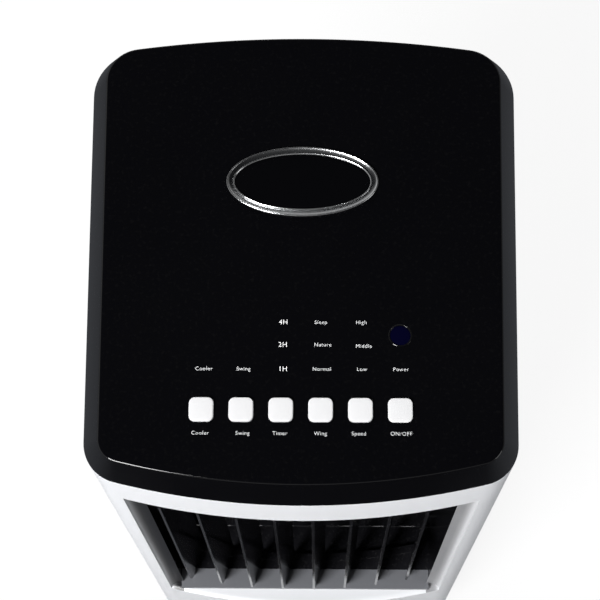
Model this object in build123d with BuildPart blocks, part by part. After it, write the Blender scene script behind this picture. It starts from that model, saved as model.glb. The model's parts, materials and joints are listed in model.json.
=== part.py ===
"""Tower evaporative air cooler, as an assembly of separate pieces.

Millimetres. +Z is up, the air outlet faces -Y, and the origin is on the floor under the
middle of the housing. The housing's plan is a rounded rectangle with bowed ends that is
slightly wider at the back, and every shell is cut from that one plan.
"""
import math
import os

from build123d import *

os.makedirs("parts", exist_ok=True)

# Overall size of the housing
height = 660.0  # floor to the flat top of the cap
depth = 330.0
front_half = 139.3  # half width at the front corners
back_half = 146.0  # half width at the back corners
front_bow_r = 500.0
back_bow_r = 790.0
front_corner_r = 27.0
back_corner_r = 35.0
wall = 2.5  # every moulded shell

# Clearances
seam = 0.4  # between two shells of the housing
play = 0.3  # round a piece that moves or is dropped in
running = 0.08  # radial, round a pin or shaft that turns
fit_gap = 0.03  # radial, round a pin that is pushed in

# Cap
cap_h = 22.0
cap_lip = 2.0  # upright edge under the bevel
cap_side_bevel = 11.6
cap_end_bevel = 9.2
cap_z = height - cap_h

# Push buttons
button_labels = ("cooler", "swing", "timer", "wind", "speed", "power")
button_size = 15.6
button_corner_r = 3.8
button_pitch = 25.24
button_rise = 2.3
button_travel = 1.2
button_setback = 57.0  # behind the crown of the front, as are the other setbacks here
button_flange = 1.3
button_flange_h = 1.2
button_skirt = 2.0  # below the flange
button_edge_r = 0.8

# Receiver lens and badge on the cap
lens_r = 6.7
lens_x = 63.7
lens_setback = 107.0
lens_flange = 1.4
lens_proud = 0.2
badge_setback = 214.0
badge_rx = 50.5
badge_ry = 25.0
badge_rim = 5.5
badge_h = 1.6
inlay_h = 0.8

# Control board under the buttons
board_x = 166.0
board_y = 34.0
board_t = 1.6
switch_size = 6.0
switch_h = 3.5
plunger_r = 1.7
plunger_h = 1.0
post_r = 3.5
post_inset = 5.0
post_bore = 5.0
screw_r = 1.3
screw_head_r = 2.6
screw_head_h = 1.6

# Casters and base
wheel_r = 18.0
wheel_w = 14.0
axle_r = 3.0
caster_x = 98.0
caster_inset = 49.0  # from the front and from the back
caster_trail = 13.0
fork_ear = 2.5
crown_r = 15.0
crown_h = 5.5
ear_inset = 3.0  # the ears' front edge behind the crown's rim
ear_r = 6.0  # round the axle
tyre_edge_r = 2.5
hub_dish = 2.5
hub_rim = 5.0
wheel_hub_r = 6.0
stem_r = 4.0
boss_r = 8.0
boss_h = 12.0
floor_t = 4.0
base_top = 60.0  # top of the base floor, where the shells stand
skirt_h = 14.0
rib_h = 8.0

# Water tank and deck
tank_half = 112.0
tank_setback = 47.0
tank_h = 108.0
tank_travel = 160.0
runner_h = 2.0
runner_x = 82.0
runner_w = 8.0
grip_half = 45.0
grip_h = 24.0
grip_depth = 18.0
window_x = 76.0
window_w = 12.0
window_h = 74.0
window_foot = 14.0
grip_drop = 10.0  # grip's top edge below the tank's rim
door_gap = 1.0
deck_z = 180.0
deck_t = 3.0
post_inset_x = 29.0  # from the scroll plates' sides
post_inset_y = 16.0
drain_margin = 10.0
drain_back = 8.0
drain_w = 12.0

# Air outlet in the front frame
outlet_half = 119.0
outlet_z = 212.0
outlet_h = 377.0
recess = 20.0  # from the crown of the bow to the back of the reveal

# Louvre frame, swing blades and vanes
frame_side = 5.0  # louvre frame beyond the outlet, left and right
frame_bar_x = 14.0
frame_bar_z = 10.0
frame_depth = 67.0
frame_over = 6.0  # louvre frame beyond the outlet, above and below
blade_count = 8
blade_margin = 24.5  # from the outlet's side to the first pivot
blade_t = 2.0
blade_nose = 22.0  # in front of the pivot
blade_tail = 12.0  # behind the pivot
blade_setback = 10.0  # nose behind the bowed front
blade_swing = 15.0  # degrees, noses towards -X at rest
blade_pin_r = 2.0
blade_pin_l = 6.0
blade_gap = 1.0
nose_cut_h = 50.0
nose_cut = 16.0
foot_cut_h = 14.0
foot_cut = 6.0
crank_arm = 9.0
crank_pin_r = 1.5
link_w = 7.0
link_t = 3.0
link_play = 0.25
link_lift = 1.0  # tie bar above the blades' lower edge
notch_from = 3.0  # behind the pivot, where the blade clears the tie bar
notch_over = 2.0
pin_root = 2.0  # pins sink this far into their blade
drive_pin = 5.0  # of the drive blade's pin in the motor
drive_blade = 3  # turned by the swing motor, counted from 0
swing_motor_r = 14.0
swing_motor_h = 19.0
ear_t = 1.5
ear_w = 7.0
ear_hole_r = 2.0
vane_count = 5
vane_chord = 22.0
vane_t = 2.0
vane_setback = 53.0  # pivots behind the louvre frame's front
vane_arm = 7.0
vane_pin_l = 6.0
vane_link_inset = 9.0  # from the louvre frame's side
vane_notch_from = 1.2  # behind the pivot
vane_pin_root = 4.0

# Blower
fan_y = 0.0
fan_margin = 13.0  # from the scroll's round wall to the back of its plates
fan_blades = 30
fan_blade_w = 12.0
fan_blade_t = 1.3
fan_blade_turn = 35.0
fan_disc_t = 2.5
fan_disc_count = 4
fan_gap = 8.0  # between the drum's ends and the scroll's plates
fan_tip_gap = 9.0
hub_r = 11.0
hub_h = 18.0
disc_inset = 1.0
bush_drop = 2.0  # bush below the floor plate
shaft_hole_gap = 2.0
shaft_r = 4.0
bush_r = 8.0
bush_h = 8.0
plate_t = 3.0
plate_inset = 89.0  # from the crown of the back
wrap_from = 155.0
wrap_to = 108.0
tongue_angle = -38.0
tongue_gap = 6.0
motor_r = 40.0
motor_h = 30.0
motor_flange_r = 52.0
motor_flange_h = 3.0
motor_hole_r = 2.2
motor_hole_inset = 5.0

# Cooling pad, filter and water feed
intake_half = 92.0
intake_z = 190.0
intake_h = 418.0
grille_depth = 20.0
grille_travel = 80.0
slot_h = 5.0
slot_pitch = 9.0
slot_margin = 8.0
filter_t = 1.2
filter_inset = 1.0
pad_t = 30.0
pad_gap = 9.0  # between the pad and the rear grille
pad_bar = 4.0
pad_inset = 1.0
feed_h = 16.0
feed_reach = 22.0  # trough in front of the pad
drip_r = 2.2
drip_count = 11
riser_x = 66.0
riser_reach = 12.0  # pipe in front of the pad
riser_r = 5.0
riser_bore_r = 3.8
riser_over = 4.0  # spout above the trough's floor
pump_x = 42.0
pump_y = 34.0
pump_h = 46.0
pump_lift = 8.0
pump_corner_r = 6.0
bracket_half = 10.0
inlet_slots = (8.0, 14.0, 20.0)
inlet_slot_h = 2.0

# Fasteners and cord inlet on the back
back_screw_x = 102.0
back_screw_levels = (96.0, 240.0, 420.0, 600.0)
back_screw_r = 1.6
back_screw_head_r = 3.6
back_screw_l = 9.0
gland_x = -122.0
gland_z = 82.0
gland_r = 7.0
gland_l = 12.0
gland_inset = 7.5
gland_bore_r = 3.5

front_frame_depth = 53.0
rear_panel_depth = 49.0


def front_y(x, inset=0.0):
    """Y of the bowed front at x, moved in by inset."""
    radius = front_bow_r - inset
    return front_bow_r - depth / 2 - math.sqrt(radius**2 - x**2)


def back_y(x, inset=0.0):
    """Y of the bowed back at x, moved in by inset."""
    radius = back_bow_r - inset
    return depth / 2 - back_bow_r + math.sqrt(radius**2 - x**2)


def plan(level, side=0.0, end=None):
    """Outline of the housing at a level, moved in by side at the sides and by end at the ends."""
    end = side if end is None else end
    front_x = front_half - side
    back_x = back_half - side
    with BuildSketch(Plane.XY.offset(level)) as outline:
        with BuildLine():
            front_corner = (front_x, front_y(front_x, end))
            back_corner = (back_x, back_y(back_x, end))
            front = ThreePointArc((-front_x, front_corner[1]), (0, front_y(0, end)), front_corner)
            Line(front @ 1, back_corner)
            back = ThreePointArc(back_corner, (0, back_y(0, end)), (-back_x, back_corner[1]))
            Line(back @ 1, front @ 0)
        make_face()
        fillet(outline.vertices().group_by(Axis.Y)[0], front_corner_r - side)
        fillet(outline.vertices().group_by(Axis.Y)[-1], back_corner_r - side)
    return outline.sketch


def slab(x, y, z, mode=Mode.ADD):
    """Put a box that spans three (low, high) pairs into the part being made."""
    with Locations((x[0], y[0], z[0])):
        Box(x[1] - x[0], y[1] - y[0], z[1] - z[0], align=(Align.MIN,) * 3, mode=mode)


def rod(x, y, low, high, radius, mode=Mode.ADD):
    """Put an upright cylinder between two levels into the part being made."""
    with Locations((x, y, low)):
        Cylinder(radius, high - low, align=(Align.CENTER, Align.CENTER, Align.MIN), mode=mode)


def cross_rod(y, z, x_low, x_high, radius, mode=Mode.ADD):
    """Put a cylinder along X into the part being made."""
    with BuildSketch(Plane.YZ.offset(x_low)) as section:
        with Locations((y, z)):
            Circle(radius)
    extrude(section.sketch, amount=x_high - x_low, mode=mode)


def save(part, label):
    """Name a piece and write it to its own file."""
    part.label = label
    export_step(part, f"parts/{label}.step")


def housing_ring(low, high):
    """The housing's outer wall between two levels."""
    with BuildPart() as ring:
        extrude(plan(low), amount=high - low)
        extrude(plan(low, wall), amount=high - low, mode=Mode.SUBTRACT)
    return ring.part


# Places shared by several pieces
everywhere = (-depth, depth)
front_crown = -depth / 2
back_crown = depth / 2
front_split = front_crown + front_frame_depth  # seam between the front frame and the side panels
back_split = back_crown - rear_panel_depth  # seam between the side panels and the rear panel
button_y = front_crown + button_setback
lens_y = front_crown + lens_setback
badge_y = front_crown + badge_setback
caster_y = back_crown - caster_inset
tank_front = front_crown + tank_setback
recess_y = front_crown + recess
frame_half = outlet_half + frame_side
inner_x = frame_half - frame_bar_x
blade_pitch = 2 * (outlet_half - blade_margin) / (blade_count - 1)
vane_y = recess_y + vane_setback
vane_link_x = inner_x - vane_link_inset
plate_back = back_crown - plate_inset
fan_r = plate_back - fan_y - fan_tip_gap - fan_margin
rim_y = back_crown - grille_depth
pad_back = rim_y - pad_gap
pad_front = pad_back - pad_t
feed_front = pad_front - feed_reach
riser_y = pad_front - riser_reach

ring = housing_ring(base_top, cap_z)

# Top cap: a bevelled shell with button holes, a lens hole and posts for the board
cap_under = height - wall
button_count = len(button_labels)
button_x = [(index - (button_count - 1) / 2) * button_pitch for index in range(button_count)]
button_top = height + button_rise
button_foot = cap_under - play - button_flange_h - button_skirt
board_top = button_foot - button_travel - play - switch_h
board_posts = [
    (sx * (board_x / 2 - post_inset), button_y + sy * (board_y / 2 - post_inset))
    for sx in (-1, 1)
    for sy in (-1, 1)
]

with BuildPart() as top_cap:
    extrude(plan(cap_z), amount=cap_lip)
    loft([plan(cap_z + cap_lip), plan(height, cap_side_bevel, cap_end_bevel)], ruled=True)
    extrude(plan(cap_z, wall), amount=cap_lip, mode=Mode.SUBTRACT)
    inner_top = plan(cap_under, cap_side_bevel + wall, cap_end_bevel + wall)
    loft([plan(cap_z + cap_lip, wall), inner_top], ruled=True, mode=Mode.SUBTRACT)
    with BuildSketch(Plane.XY.offset(cap_under - 1)) as button_holes:
        with Locations([(x, button_y) for x in button_x]):
            RectangleRounded(button_size + 2 * play, button_size + 2 * play, button_corner_r + play)
        with Locations((lens_x, lens_y)):
            Circle(lens_r + fit_gap)
    extrude(button_holes.sketch, amount=wall + 2, mode=Mode.SUBTRACT)
    for post_x, post_y in board_posts:
        rod(post_x, post_y, board_top, cap_under, post_r)
        rod(post_x, post_y, board_top, board_top + post_bore, screw_r + fit_gap, Mode.SUBTRACT)
save(top_cap.part, "top_cap")

# Oval badge: a bevelled rim round a blank inlay, both seated on the cap
with BuildPart() as badge_ring:
    with BuildSketch(Plane.XY.offset(height)) as rim:
        with Locations((0, badge_y)):
            Ellipse(badge_rx, badge_ry)
            Ellipse(badge_rx - badge_rim, badge_ry - badge_rim, mode=Mode.SUBTRACT)
    extrude(rim.sketch, amount=badge_h)
    chamfer(badge_ring.faces().sort_by(Axis.Z)[-1].edges(), badge_h / 2)
save(badge_ring.part, "badge_ring")

with BuildPart() as badge_inlay:
    with BuildSketch(Plane.XY.offset(height)) as plate:
        with Locations((0, badge_y)):
            Ellipse(badge_rx - badge_rim - fit_gap, badge_ry - badge_rim - fit_gap)
    extrude(plate.sketch, amount=inlay_h)
save(badge_inlay.part, "badge_inlay")

# Receiver lens: a plug with a flange under the cap
with BuildPart() as receiver_lens:
    rod(lens_x, lens_y, cap_under - lens_flange, cap_under, lens_r + lens_flange)
    rod(lens_x, lens_y, cap_under, height + lens_proud, lens_r)
save(receiver_lens.part, "receiver_lens")

# Buttons: square keys with a flange that keeps them under the cap
for label, x in zip(button_labels, button_x):
    with BuildPart() as button:
        with BuildSketch(Plane.XY.offset(button_foot)) as key:
            with Locations((x, button_y)):
                RectangleRounded(button_size, button_size, button_corner_r)
        extrude(key.sketch, amount=button_top - button_foot)
        fillet(button.faces().sort_by(Axis.Z)[-1].edges(), button_edge_r)
        with BuildSketch(Plane.XY.offset(cap_under - play - button_flange_h)) as flange:
            with Locations((x, button_y)):
                flange_size = button_size + 2 * button_flange
                RectangleRounded(flange_size, flange_size, button_corner_r + button_flange)
        extrude(flange.sketch, amount=button_flange_h)
    save(button.part, f"button_{label}")

# Control board with one switch under each button, screwed to the cap's posts
with BuildPart() as control_board:
    board_span = (button_y - board_y / 2, button_y + board_y / 2)
    slab((-board_x / 2, board_x / 2), board_span, (board_top - board_t, board_top))
    plunger_low = board_top + switch_h - plunger_h
    for x in button_x:
        half = switch_size / 2
        slab((x - half, x + half), (button_y - half, button_y + half), (board_top, plunger_low))
        rod(x, button_y, plunger_low, plunger_low + plunger_h, plunger_r)
    for post_x, post_y in board_posts:
        rod(post_x, post_y, board_top - board_t, board_top, screw_r + play, Mode.SUBTRACT)
save(control_board.part, "control_board")

with BuildPart() as board_screws:
    for post_x, post_y in board_posts:
        rod(post_x, post_y, board_top - board_t - screw_head_h, board_top - board_t, screw_head_r)
        rod(post_x, post_y, board_top - board_t, board_top + post_bore - play, screw_r)
save(board_screws.part, "board_screws")

# Front frame: bowed front with a boxed outlet whose back edge is straight
outlet_top = outlet_z + outlet_h
with BuildPart() as front_cavity:
    extrude(plan(base_top, wall), amount=cap_z - base_top)
    reveal = outlet_half + wall
    slab((-reveal, reveal), (-depth, recess_y), (outlet_z - wall, outlet_top + wall), Mode.SUBTRACT)

with BuildPart() as front_frame:
    extrude(plan(base_top), amount=cap_z - base_top)
    add(front_cavity.part, mode=Mode.SUBTRACT)
    slab((-outlet_half, outlet_half), (-depth, recess_y + 1), (outlet_z, outlet_top), Mode.SUBTRACT)
    slab(everywhere, (-depth, front_split), (0, height), Mode.INTERSECT)
save(front_frame.part, "front_frame")

# Side panels
for label, span in (("left", (-depth, 0)), ("right", (0, depth))):
    with BuildPart() as side_panel:
        add(ring)
        slab(span, (front_split + seam, back_split - seam), (0, height), Mode.INTERSECT)
    save(side_panel.part, f"side_panel_{label}")

# Rear panel with the intake opening, the tank's doorway, screw holes and the cord inlet's hole
tank_z = base_top + runner_h + play
tank_top = tank_z + tank_h
intake_top = intake_z + intake_h
door_half = tank_half + door_gap
back_screws = [(sx * back_screw_x, level) for sx in (-1, 1) for level in back_screw_levels]
door_screws = [(x, level) for x, level in back_screws if level > tank_top]


def back_rod(x, z, y_low, y_high, radius, mode=Mode.ADD):
    """Put a cylinder along Y into the part being made."""
    with BuildSketch(Plane.XZ.offset(-y_high)) as section:
        with Locations((x, z)):
            Circle(radius)
    extrude(section.sketch, amount=y_high - y_low, mode=mode)


with BuildPart() as rear_panel:
    add(ring)
    slab(everywhere, (back_split, depth), (0, height), Mode.INTERSECT)
    intake = intake_half + seam
    slab((-intake, intake), (0, depth), (intake_z - seam, intake_top + seam), Mode.SUBTRACT)
    slab((-door_half, door_half), (0, depth), (0, tank_top + door_gap), Mode.SUBTRACT)
    for x, level in door_screws:
        back_rod(x, level, back_split, depth, back_screw_r + play / 2, Mode.SUBTRACT)
    back_rod(gland_x, gland_z, back_split, depth, gland_r + fit_gap, Mode.SUBTRACT)
save(rear_panel.part, "rear_panel")

with BuildPart() as housing_screws:
    for x, level in door_screws:
        seat = back_y(abs(x) - back_screw_head_r) + fit_gap
        back_rod(x, level, seat, seat + screw_head_h, back_screw_head_r)
        back_rod(x, level, seat - back_screw_l, seat, back_screw_r)
save(housing_screws.part, "housing_screws")

# Cord inlet: a flanged bush through the rear panel
gland_seat = back_y(abs(gland_x) + gland_r) - gland_inset
with BuildPart() as cord_gland:
    back_rod(gland_x, gland_z, gland_seat, gland_seat + gland_l, gland_r)
    back_rod(gland_x, gland_z, gland_seat, gland_seat + gland_l, gland_bore_r, Mode.SUBTRACT)
save(cord_gland.part, "cord_gland")

# Base: a floor with a skirt, a locating rib, tank runners and caster bosses
floor_z = base_top - floor_t
boss_z = floor_z - boss_h
casters = [(sx * caster_x, sy * caster_y) for sy in (-1, 1) for sx in (-1, 1)]
stem_top = floor_z + floor_t / 2
with BuildPart() as base_tray:
    extrude(plan(base_top - skirt_h), amount=skirt_h)
    extrude(plan(base_top - skirt_h, wall), amount=skirt_h - floor_t, mode=Mode.SUBTRACT)
    with BuildPart(mode=Mode.PRIVATE) as rib:
        extrude(plan(base_top, wall + play), amount=rib_h)
        extrude(plan(base_top, 2 * wall + play), amount=rib_h, mode=Mode.SUBTRACT)
        slab((-door_half, door_half), (0, depth), (0, height), Mode.SUBTRACT)
    add(rib.part)
    for side in (-1, 1):
        span = sorted((side * runner_x, side * (runner_x + runner_w)))
        slab(span, (tank_front, back_split), (base_top, base_top + runner_h))
    for x, y in casters:
        rod(x, y, boss_z, floor_z, boss_r)
        rod(x, y, boss_z, stem_top + play, stem_r + running, Mode.SUBTRACT)
save(base_tray.part, "base_tray")

# Casters: a swivelling fork with its stem, and a wheel on a riveted axle
axle_half = wheel_w / 2 + 2 * play + fork_ear
crown_top = boss_z - play
for index, (x, y) in enumerate(casters):
    wheel_y = y + caster_trail
    with BuildPart() as fork:
        rod(x, y, crown_top, stem_top, stem_r)
        rod(x, y, crown_top - crown_h, crown_top, crown_r)
        with BuildSketch(Plane.YZ.offset(x - axle_half)) as ear:
            with BuildLine():
                Polyline(
                    (y - crown_r + ear_inset, crown_top - crown_h / 2),
                    (wheel_y - ear_r, wheel_r),
                    (wheel_y + ear_r, wheel_r),
                    (y + crown_r, crown_top - crown_h / 2),
                    close=True,
                )
            make_face()
            with Locations((wheel_y, wheel_r)):
                Circle(ear_r)
        extrude(ear.sketch, amount=2 * axle_half)
        gap = axle_half - fork_ear
        slab((x - gap, x + gap), everywhere, (0, crown_top - crown_h), Mode.SUBTRACT)
        cross_rod(wheel_y, wheel_r, x - axle_half, x + axle_half, axle_r + fit_gap, Mode.SUBTRACT)
    with BuildPart() as axle:
        cross_rod(wheel_y, wheel_r, x - axle_half, x + axle_half, axle_r)
    save(Compound(children=[fork.part, axle.part]), f"caster_fork_{index + 1}")

    with BuildPart() as wheel:
        cross_rod(wheel_y, wheel_r, x - wheel_w / 2, x + wheel_w / 2, wheel_r)
        fillet(wheel.edges(), tyre_edge_r)
        for face_x, direction in ((x - wheel_w / 2, 1), (x + wheel_w / 2, -1)):
            low, high = sorted((face_x, face_x + hub_dish * direction))
            cross_rod(wheel_y, wheel_r, low, high, wheel_r - hub_rim, Mode.SUBTRACT)
            cross_rod(wheel_y, wheel_r, low, high, wheel_hub_r)
        cross_rod(wheel_y, wheel_r, x - wheel_w, x + wheel_w, axle_r + running, Mode.SUBTRACT)
    save(wheel.part, f"caster_wheel_{index + 1}")

# Water tank: an open drawer whose back wall is part of the bowed back
with BuildPart() as tank_cavity:
    extrude(plan(tank_z + wall, wall), amount=tank_h)
    inner = tank_half - wall
    slab((-inner, inner), (tank_front + wall, depth), (0, height), Mode.INTERSECT)
    grip_y = depth / 2 - grip_depth
    grip_top = tank_top - grip_drop
    grip_low = grip_top - grip_h
    cup = grip_half + wall
    slab((-cup, cup), (grip_y - wall, depth), (grip_low - wall, grip_top + wall), Mode.SUBTRACT)

window_low = tank_z + window_foot
window_top = window_low + window_h
window_left = window_x - window_w / 2
window_right = window_x + window_w / 2
with BuildPart() as water_tank:
    extrude(plan(tank_z), amount=tank_h)
    slab((-tank_half, tank_half), (tank_front, depth), (0, height), Mode.INTERSECT)
    add(tank_cavity.part, mode=Mode.SUBTRACT)
    slab((-grip_half, grip_half), (grip_y, depth), (grip_low, grip_top), Mode.SUBTRACT)
    slab((window_left, window_right), (0, depth), (window_low, window_top), Mode.SUBTRACT)
save(water_tank.part, "water_tank")

with BuildPart() as level_window:
    extrude(plan(tank_z), amount=tank_h)
    extrude(plan(tank_z, wall), amount=tank_h, mode=Mode.SUBTRACT)
    pane_x = (window_left + fit_gap, window_right - fit_gap)
    slab(pane_x, (0, depth), (window_low + fit_gap, window_top - fit_gap), Mode.INTERSECT)
save(level_window.part, "level_window")

# Deck between the tank bay and the blower, with posts under the scroll
deck_top = deck_z + deck_t
frame_low = outlet_z - frame_over
frame_top = outlet_top + frame_over
scroll_low = frame_low - plate_t
post_x_half = frame_half - post_inset_x
post_y_half = plate_back - post_inset_y
post_places = [(sx * post_x_half, sy * post_y_half) for sx in (-1, 1) for sy in (-1, 1)]
bar_half = intake_half - pad_bar
pad_half = bar_half - play
drain_x = (drain_margin - pad_half, pad_half - drain_margin)
drain_y = (pad_back - drain_back - drain_w, pad_back - drain_back)
with BuildPart() as deck:
    extrude(plan(deck_z, wall + play), amount=deck_t)
    for x, y in post_places:
        rod(x, y, deck_top, scroll_low, boss_r)
    rod(riser_x, riser_y, deck_z, deck_top, riser_r + play, Mode.SUBTRACT)
    slab(drain_x, drain_y, (deck_z, deck_top), Mode.SUBTRACT)
save(deck.part, "deck")

# Louvre frame: a deep black box that carries the blades and the vanes
frame_front = recess_y
frame_back = frame_front + frame_depth
inner_low = frame_low + frame_bar_z
inner_top_z = frame_top - frame_bar_z
blade_low = inner_low + blade_gap
blade_top = inner_top_z - blade_gap
turn = math.radians(-blade_swing)
blade_back_dir = (-math.sin(turn), math.cos(turn))
blade_x = [(index - (blade_count - 1) / 2) * blade_pitch for index in range(blade_count)]
pivots = [(x, front_y(x) + blade_setback + blade_nose) for x in blade_x]
vane_step = (inner_top_z - inner_low) / vane_count
vane_z = [inner_low + (index + 0.5) * vane_step for index in range(vane_count)]

with BuildPart() as louvre_frame:
    slab((-frame_half, frame_half), (frame_front, frame_back), (frame_low, frame_top))
    slab((-inner_x, inner_x), (frame_front - 1, frame_back + 1), (inner_low, inner_top_z), Mode.SUBTRACT)
    for index, (x, y) in enumerate(pivots):
        hole_low = frame_low if index == drive_blade else inner_low - blade_pin_l
        rod(x, y, hole_low, inner_low, blade_pin_r + running, Mode.SUBTRACT)
        rod(x, y, inner_top_z, inner_top_z + blade_pin_l, blade_pin_r + running, Mode.SUBTRACT)
    for z in vane_z:
        for low in (-inner_x - vane_pin_l, inner_x):
            cross_rod(vane_y, z, low, low + vane_pin_l, blade_pin_r + running, Mode.SUBTRACT)
save(louvre_frame.part, "louvre_frame")

# Swing blades: thin plates with a cut nose, pivot pins and a crank pin for the tie bar
notch_h = link_lift + link_t + notch_over
for index, (x, y) in enumerate(pivots):
    upright = Plane(
        origin=(x, y, 0),
        x_dir=(*blade_back_dir, 0),
        z_dir=(blade_back_dir[1], -blade_back_dir[0], 0),
    )
    with BuildPart() as blade:
        with BuildSketch(upright) as side:
            with BuildLine():
                Polyline(
                    (-blade_nose, blade_low + foot_cut_h),
                    (-blade_nose, blade_top - nose_cut_h),
                    (-blade_nose + nose_cut, blade_top),
                    (blade_tail, blade_top),
                    (blade_tail, blade_low + notch_h),
                    (notch_from, blade_low + notch_h),
                    (notch_from, blade_low),
                    (-blade_nose + foot_cut, blade_low),
                    close=True,
                )
            make_face()
        extrude(side.sketch, amount=blade_t / 2, both=True)
        drop = frame_bar_z + drive_pin if index == drive_blade else blade_pin_l - play
        rod(x, y, inner_low - drop, blade_low + pin_root, blade_pin_r)
        rod(x, y, blade_top - pin_root, inner_top_z + blade_pin_l - play, blade_pin_r)
        crank_x = x + crank_arm * blade_back_dir[0]
        crank_y = y + crank_arm * blade_back_dir[1]
        rod(crank_x, crank_y, blade_low + play, blade_low + notch_h + pin_root, crank_pin_r)
    save(blade.part, f"blade_{index + 1}")

# Tie bar that joins the blades' crank pins, bowed like the front
link_low = blade_low + link_lift
shift = (crank_arm * blade_back_dir[0], crank_arm * blade_back_dir[1])
crank_places = [(x + shift[0], y + shift[1]) for x, y in pivots]
crown_place = (shift[0], front_y(0) + blade_setback + blade_nose + shift[1])
with BuildPart() as blade_link:
    with BuildSketch(Plane.XY.offset(link_low)) as bar:
        with BuildLine():
            ThreePointArc(crank_places[0], crown_place, crank_places[-1])
        trace(line_width=link_w)
        with Locations([crank_places[0], crank_places[-1]]):
            Circle(link_w / 2)
        with Locations(crank_places):
            Circle(crank_pin_r + link_play, mode=Mode.SUBTRACT)
    extrude(bar.sketch, amount=link_t)
save(blade_link.part, "blade_link")

# Swing motor under the frame, on the drive blade's long pin
with BuildPart() as swing_motor:
    motor_x, motor_y = pivots[drive_blade]
    rod(motor_x, motor_y, frame_low - swing_motor_h, frame_low, swing_motor_r)
    with BuildSketch(Plane.XY.offset(frame_low - ear_t)) as ears:
        with Locations((motor_x, motor_y)):
            SlotCenterToCenter(2 * swing_motor_r + ear_w, ear_w)
            ear_x = swing_motor_r + ear_w / 2
            with Locations((ear_x, 0), (-ear_x, 0)):
                Circle(ear_hole_r, mode=Mode.SUBTRACT)
    extrude(ears.sketch, amount=ear_t)
    socket_low = frame_low - drive_pin - blade_gap
    rod(motor_x, motor_y, socket_low, frame_low, blade_pin_r + running, Mode.SUBTRACT)
save(swing_motor.part, "swing_motor")

# Vanes: level slats behind the blades, with a notch and a pin for their own tie bar
for index, z in enumerate(vane_z):
    with BuildPart() as vane:
        with BuildSketch(Plane.YZ.offset(-inner_x + blade_gap)) as section:
            with Locations((vane_y, z)):
                SlotOverall(vane_chord, vane_t)
        extrude(section.sketch, amount=2 * (inner_x - blade_gap))
        cut_x = (vane_link_x - blade_gap, inner_x)
        cut_y = (vane_y + vane_notch_from, vane_y + vane_chord)
        slab(cut_x, cut_y, (z - vane_t, z + vane_t), Mode.SUBTRACT)
        pin_x = (vane_link_x - vane_pin_root, vane_link_x + link_t + blade_gap)
        cross_rod(vane_y + vane_arm, z, *pin_x, vane_t / 2)
        cross_rod(vane_y, z, -inner_x - vane_pin_l + play, -inner_x + vane_pin_root, blade_pin_r)
        cross_rod(vane_y, z, inner_x - vane_pin_root, inner_x + vane_pin_l - play, blade_pin_r)
    save(vane.part, f"vane_{index + 1}")

with BuildPart() as vane_link:
    with BuildSketch(Plane.YZ.offset(vane_link_x)) as bar:
        mid_z = (vane_z[0] + vane_z[-1]) / 2
        with Locations((vane_y + vane_arm, mid_z)):
            SlotCenterToCenter(vane_z[-1] - vane_z[0], link_w, rotation=90)
        with Locations([(vane_y + vane_arm, z) for z in vane_z]):
            Circle(vane_t / 2 + link_play, mode=Mode.SUBTRACT)
    extrude(bar.sketch, amount=link_t)
save(vane_link.part, "vane_link")

# Scroll housing: two curved walls between a floor plate and a top plate
wrap_r = fan_r + fan_tip_gap
start = (-inner_x, frame_back)
begin = math.radians(wrap_from)
finish = math.radians(wrap_to)
middle = (begin + finish) / 2


def round_fan(radius, angle):
    """Point at a distance and angle from the blower's axis, in plan."""
    return radius * math.cos(angle), fan_y + radius * math.sin(angle)


fan_low = frame_low + fan_gap
fan_top = frame_top - fan_gap
with BuildPart() as scroll_housing:
    with BuildSketch(Plane.XY.offset(frame_low)) as walls:
        with BuildLine():
            Line(start, round_fan(wrap_r, begin))
            ThreePointArc(round_fan(wrap_r, begin), round_fan(wrap_r, middle), round_fan(wrap_r, finish))
        trace(line_width=wall)
        with BuildLine():
            Line((inner_x, frame_back), round_fan(fan_r + tongue_gap, math.radians(tongue_angle)))
        trace(line_width=wall)
    extrude(walls.sketch, amount=frame_top - frame_low)
    for level in (scroll_low, frame_top):
        slab((-frame_half, frame_half), (frame_back, plate_back), (level, level + plate_t))
    slab(everywhere, (frame_back, depth), (0, height), Mode.INTERSECT)
    rod(0, fan_y, scroll_low, frame_low, bush_r + fit_gap, Mode.SUBTRACT)
    rod(0, fan_y, frame_top, frame_top + plate_t, shaft_r + shaft_hole_gap, Mode.SUBTRACT)
save(scroll_housing.part, "scroll_housing")

# Blower drum, its shaft, lower bush and motor
with BuildPart() as blower_wheel:
    with BuildSketch(Plane.XY.offset(fan_low)) as strips:
        with Locations((0, fan_y)):
            with PolarLocations(fan_r - fan_blade_w / 2, fan_blades):
                Rectangle(fan_blade_w, fan_blade_t, rotation=fan_blade_turn)
    extrude(strips.sketch, amount=fan_top - fan_low)
    disc_step = (fan_top - fan_low - fan_disc_t) / (fan_disc_count - 1)
    for index in range(fan_disc_count):
        level = fan_low + index * disc_step
        solid_end = index in (0, fan_disc_count - 1)
        rod(0, fan_y, level, level + fan_disc_t, fan_r - disc_inset)
        if not solid_end:
            rod(0, fan_y, level, level + fan_disc_t, fan_r - fan_blade_w, Mode.SUBTRACT)
    for low in (fan_low, fan_top - hub_h):
        rod(0, fan_y, low, low + hub_h, hub_r)
    rod(0, fan_y, fan_low, fan_top, shaft_r + fit_gap, Mode.SUBTRACT)
save(blower_wheel.part, "blower_wheel")

motor_low = frame_top + plate_t
bush_low = scroll_low - bush_drop
with BuildPart() as fan_shaft:
    rod(0, fan_y, bush_low, motor_low + motor_h - motor_flange_h - blade_gap, shaft_r)
save(fan_shaft.part, "fan_shaft")

with BuildPart() as fan_bush:
    rod(0, fan_y, bush_low, bush_low + bush_h, bush_r)
    rod(0, fan_y, bush_low, bush_low + bush_h, shaft_r + running, Mode.SUBTRACT)
save(fan_bush.part, "fan_bush")

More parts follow.
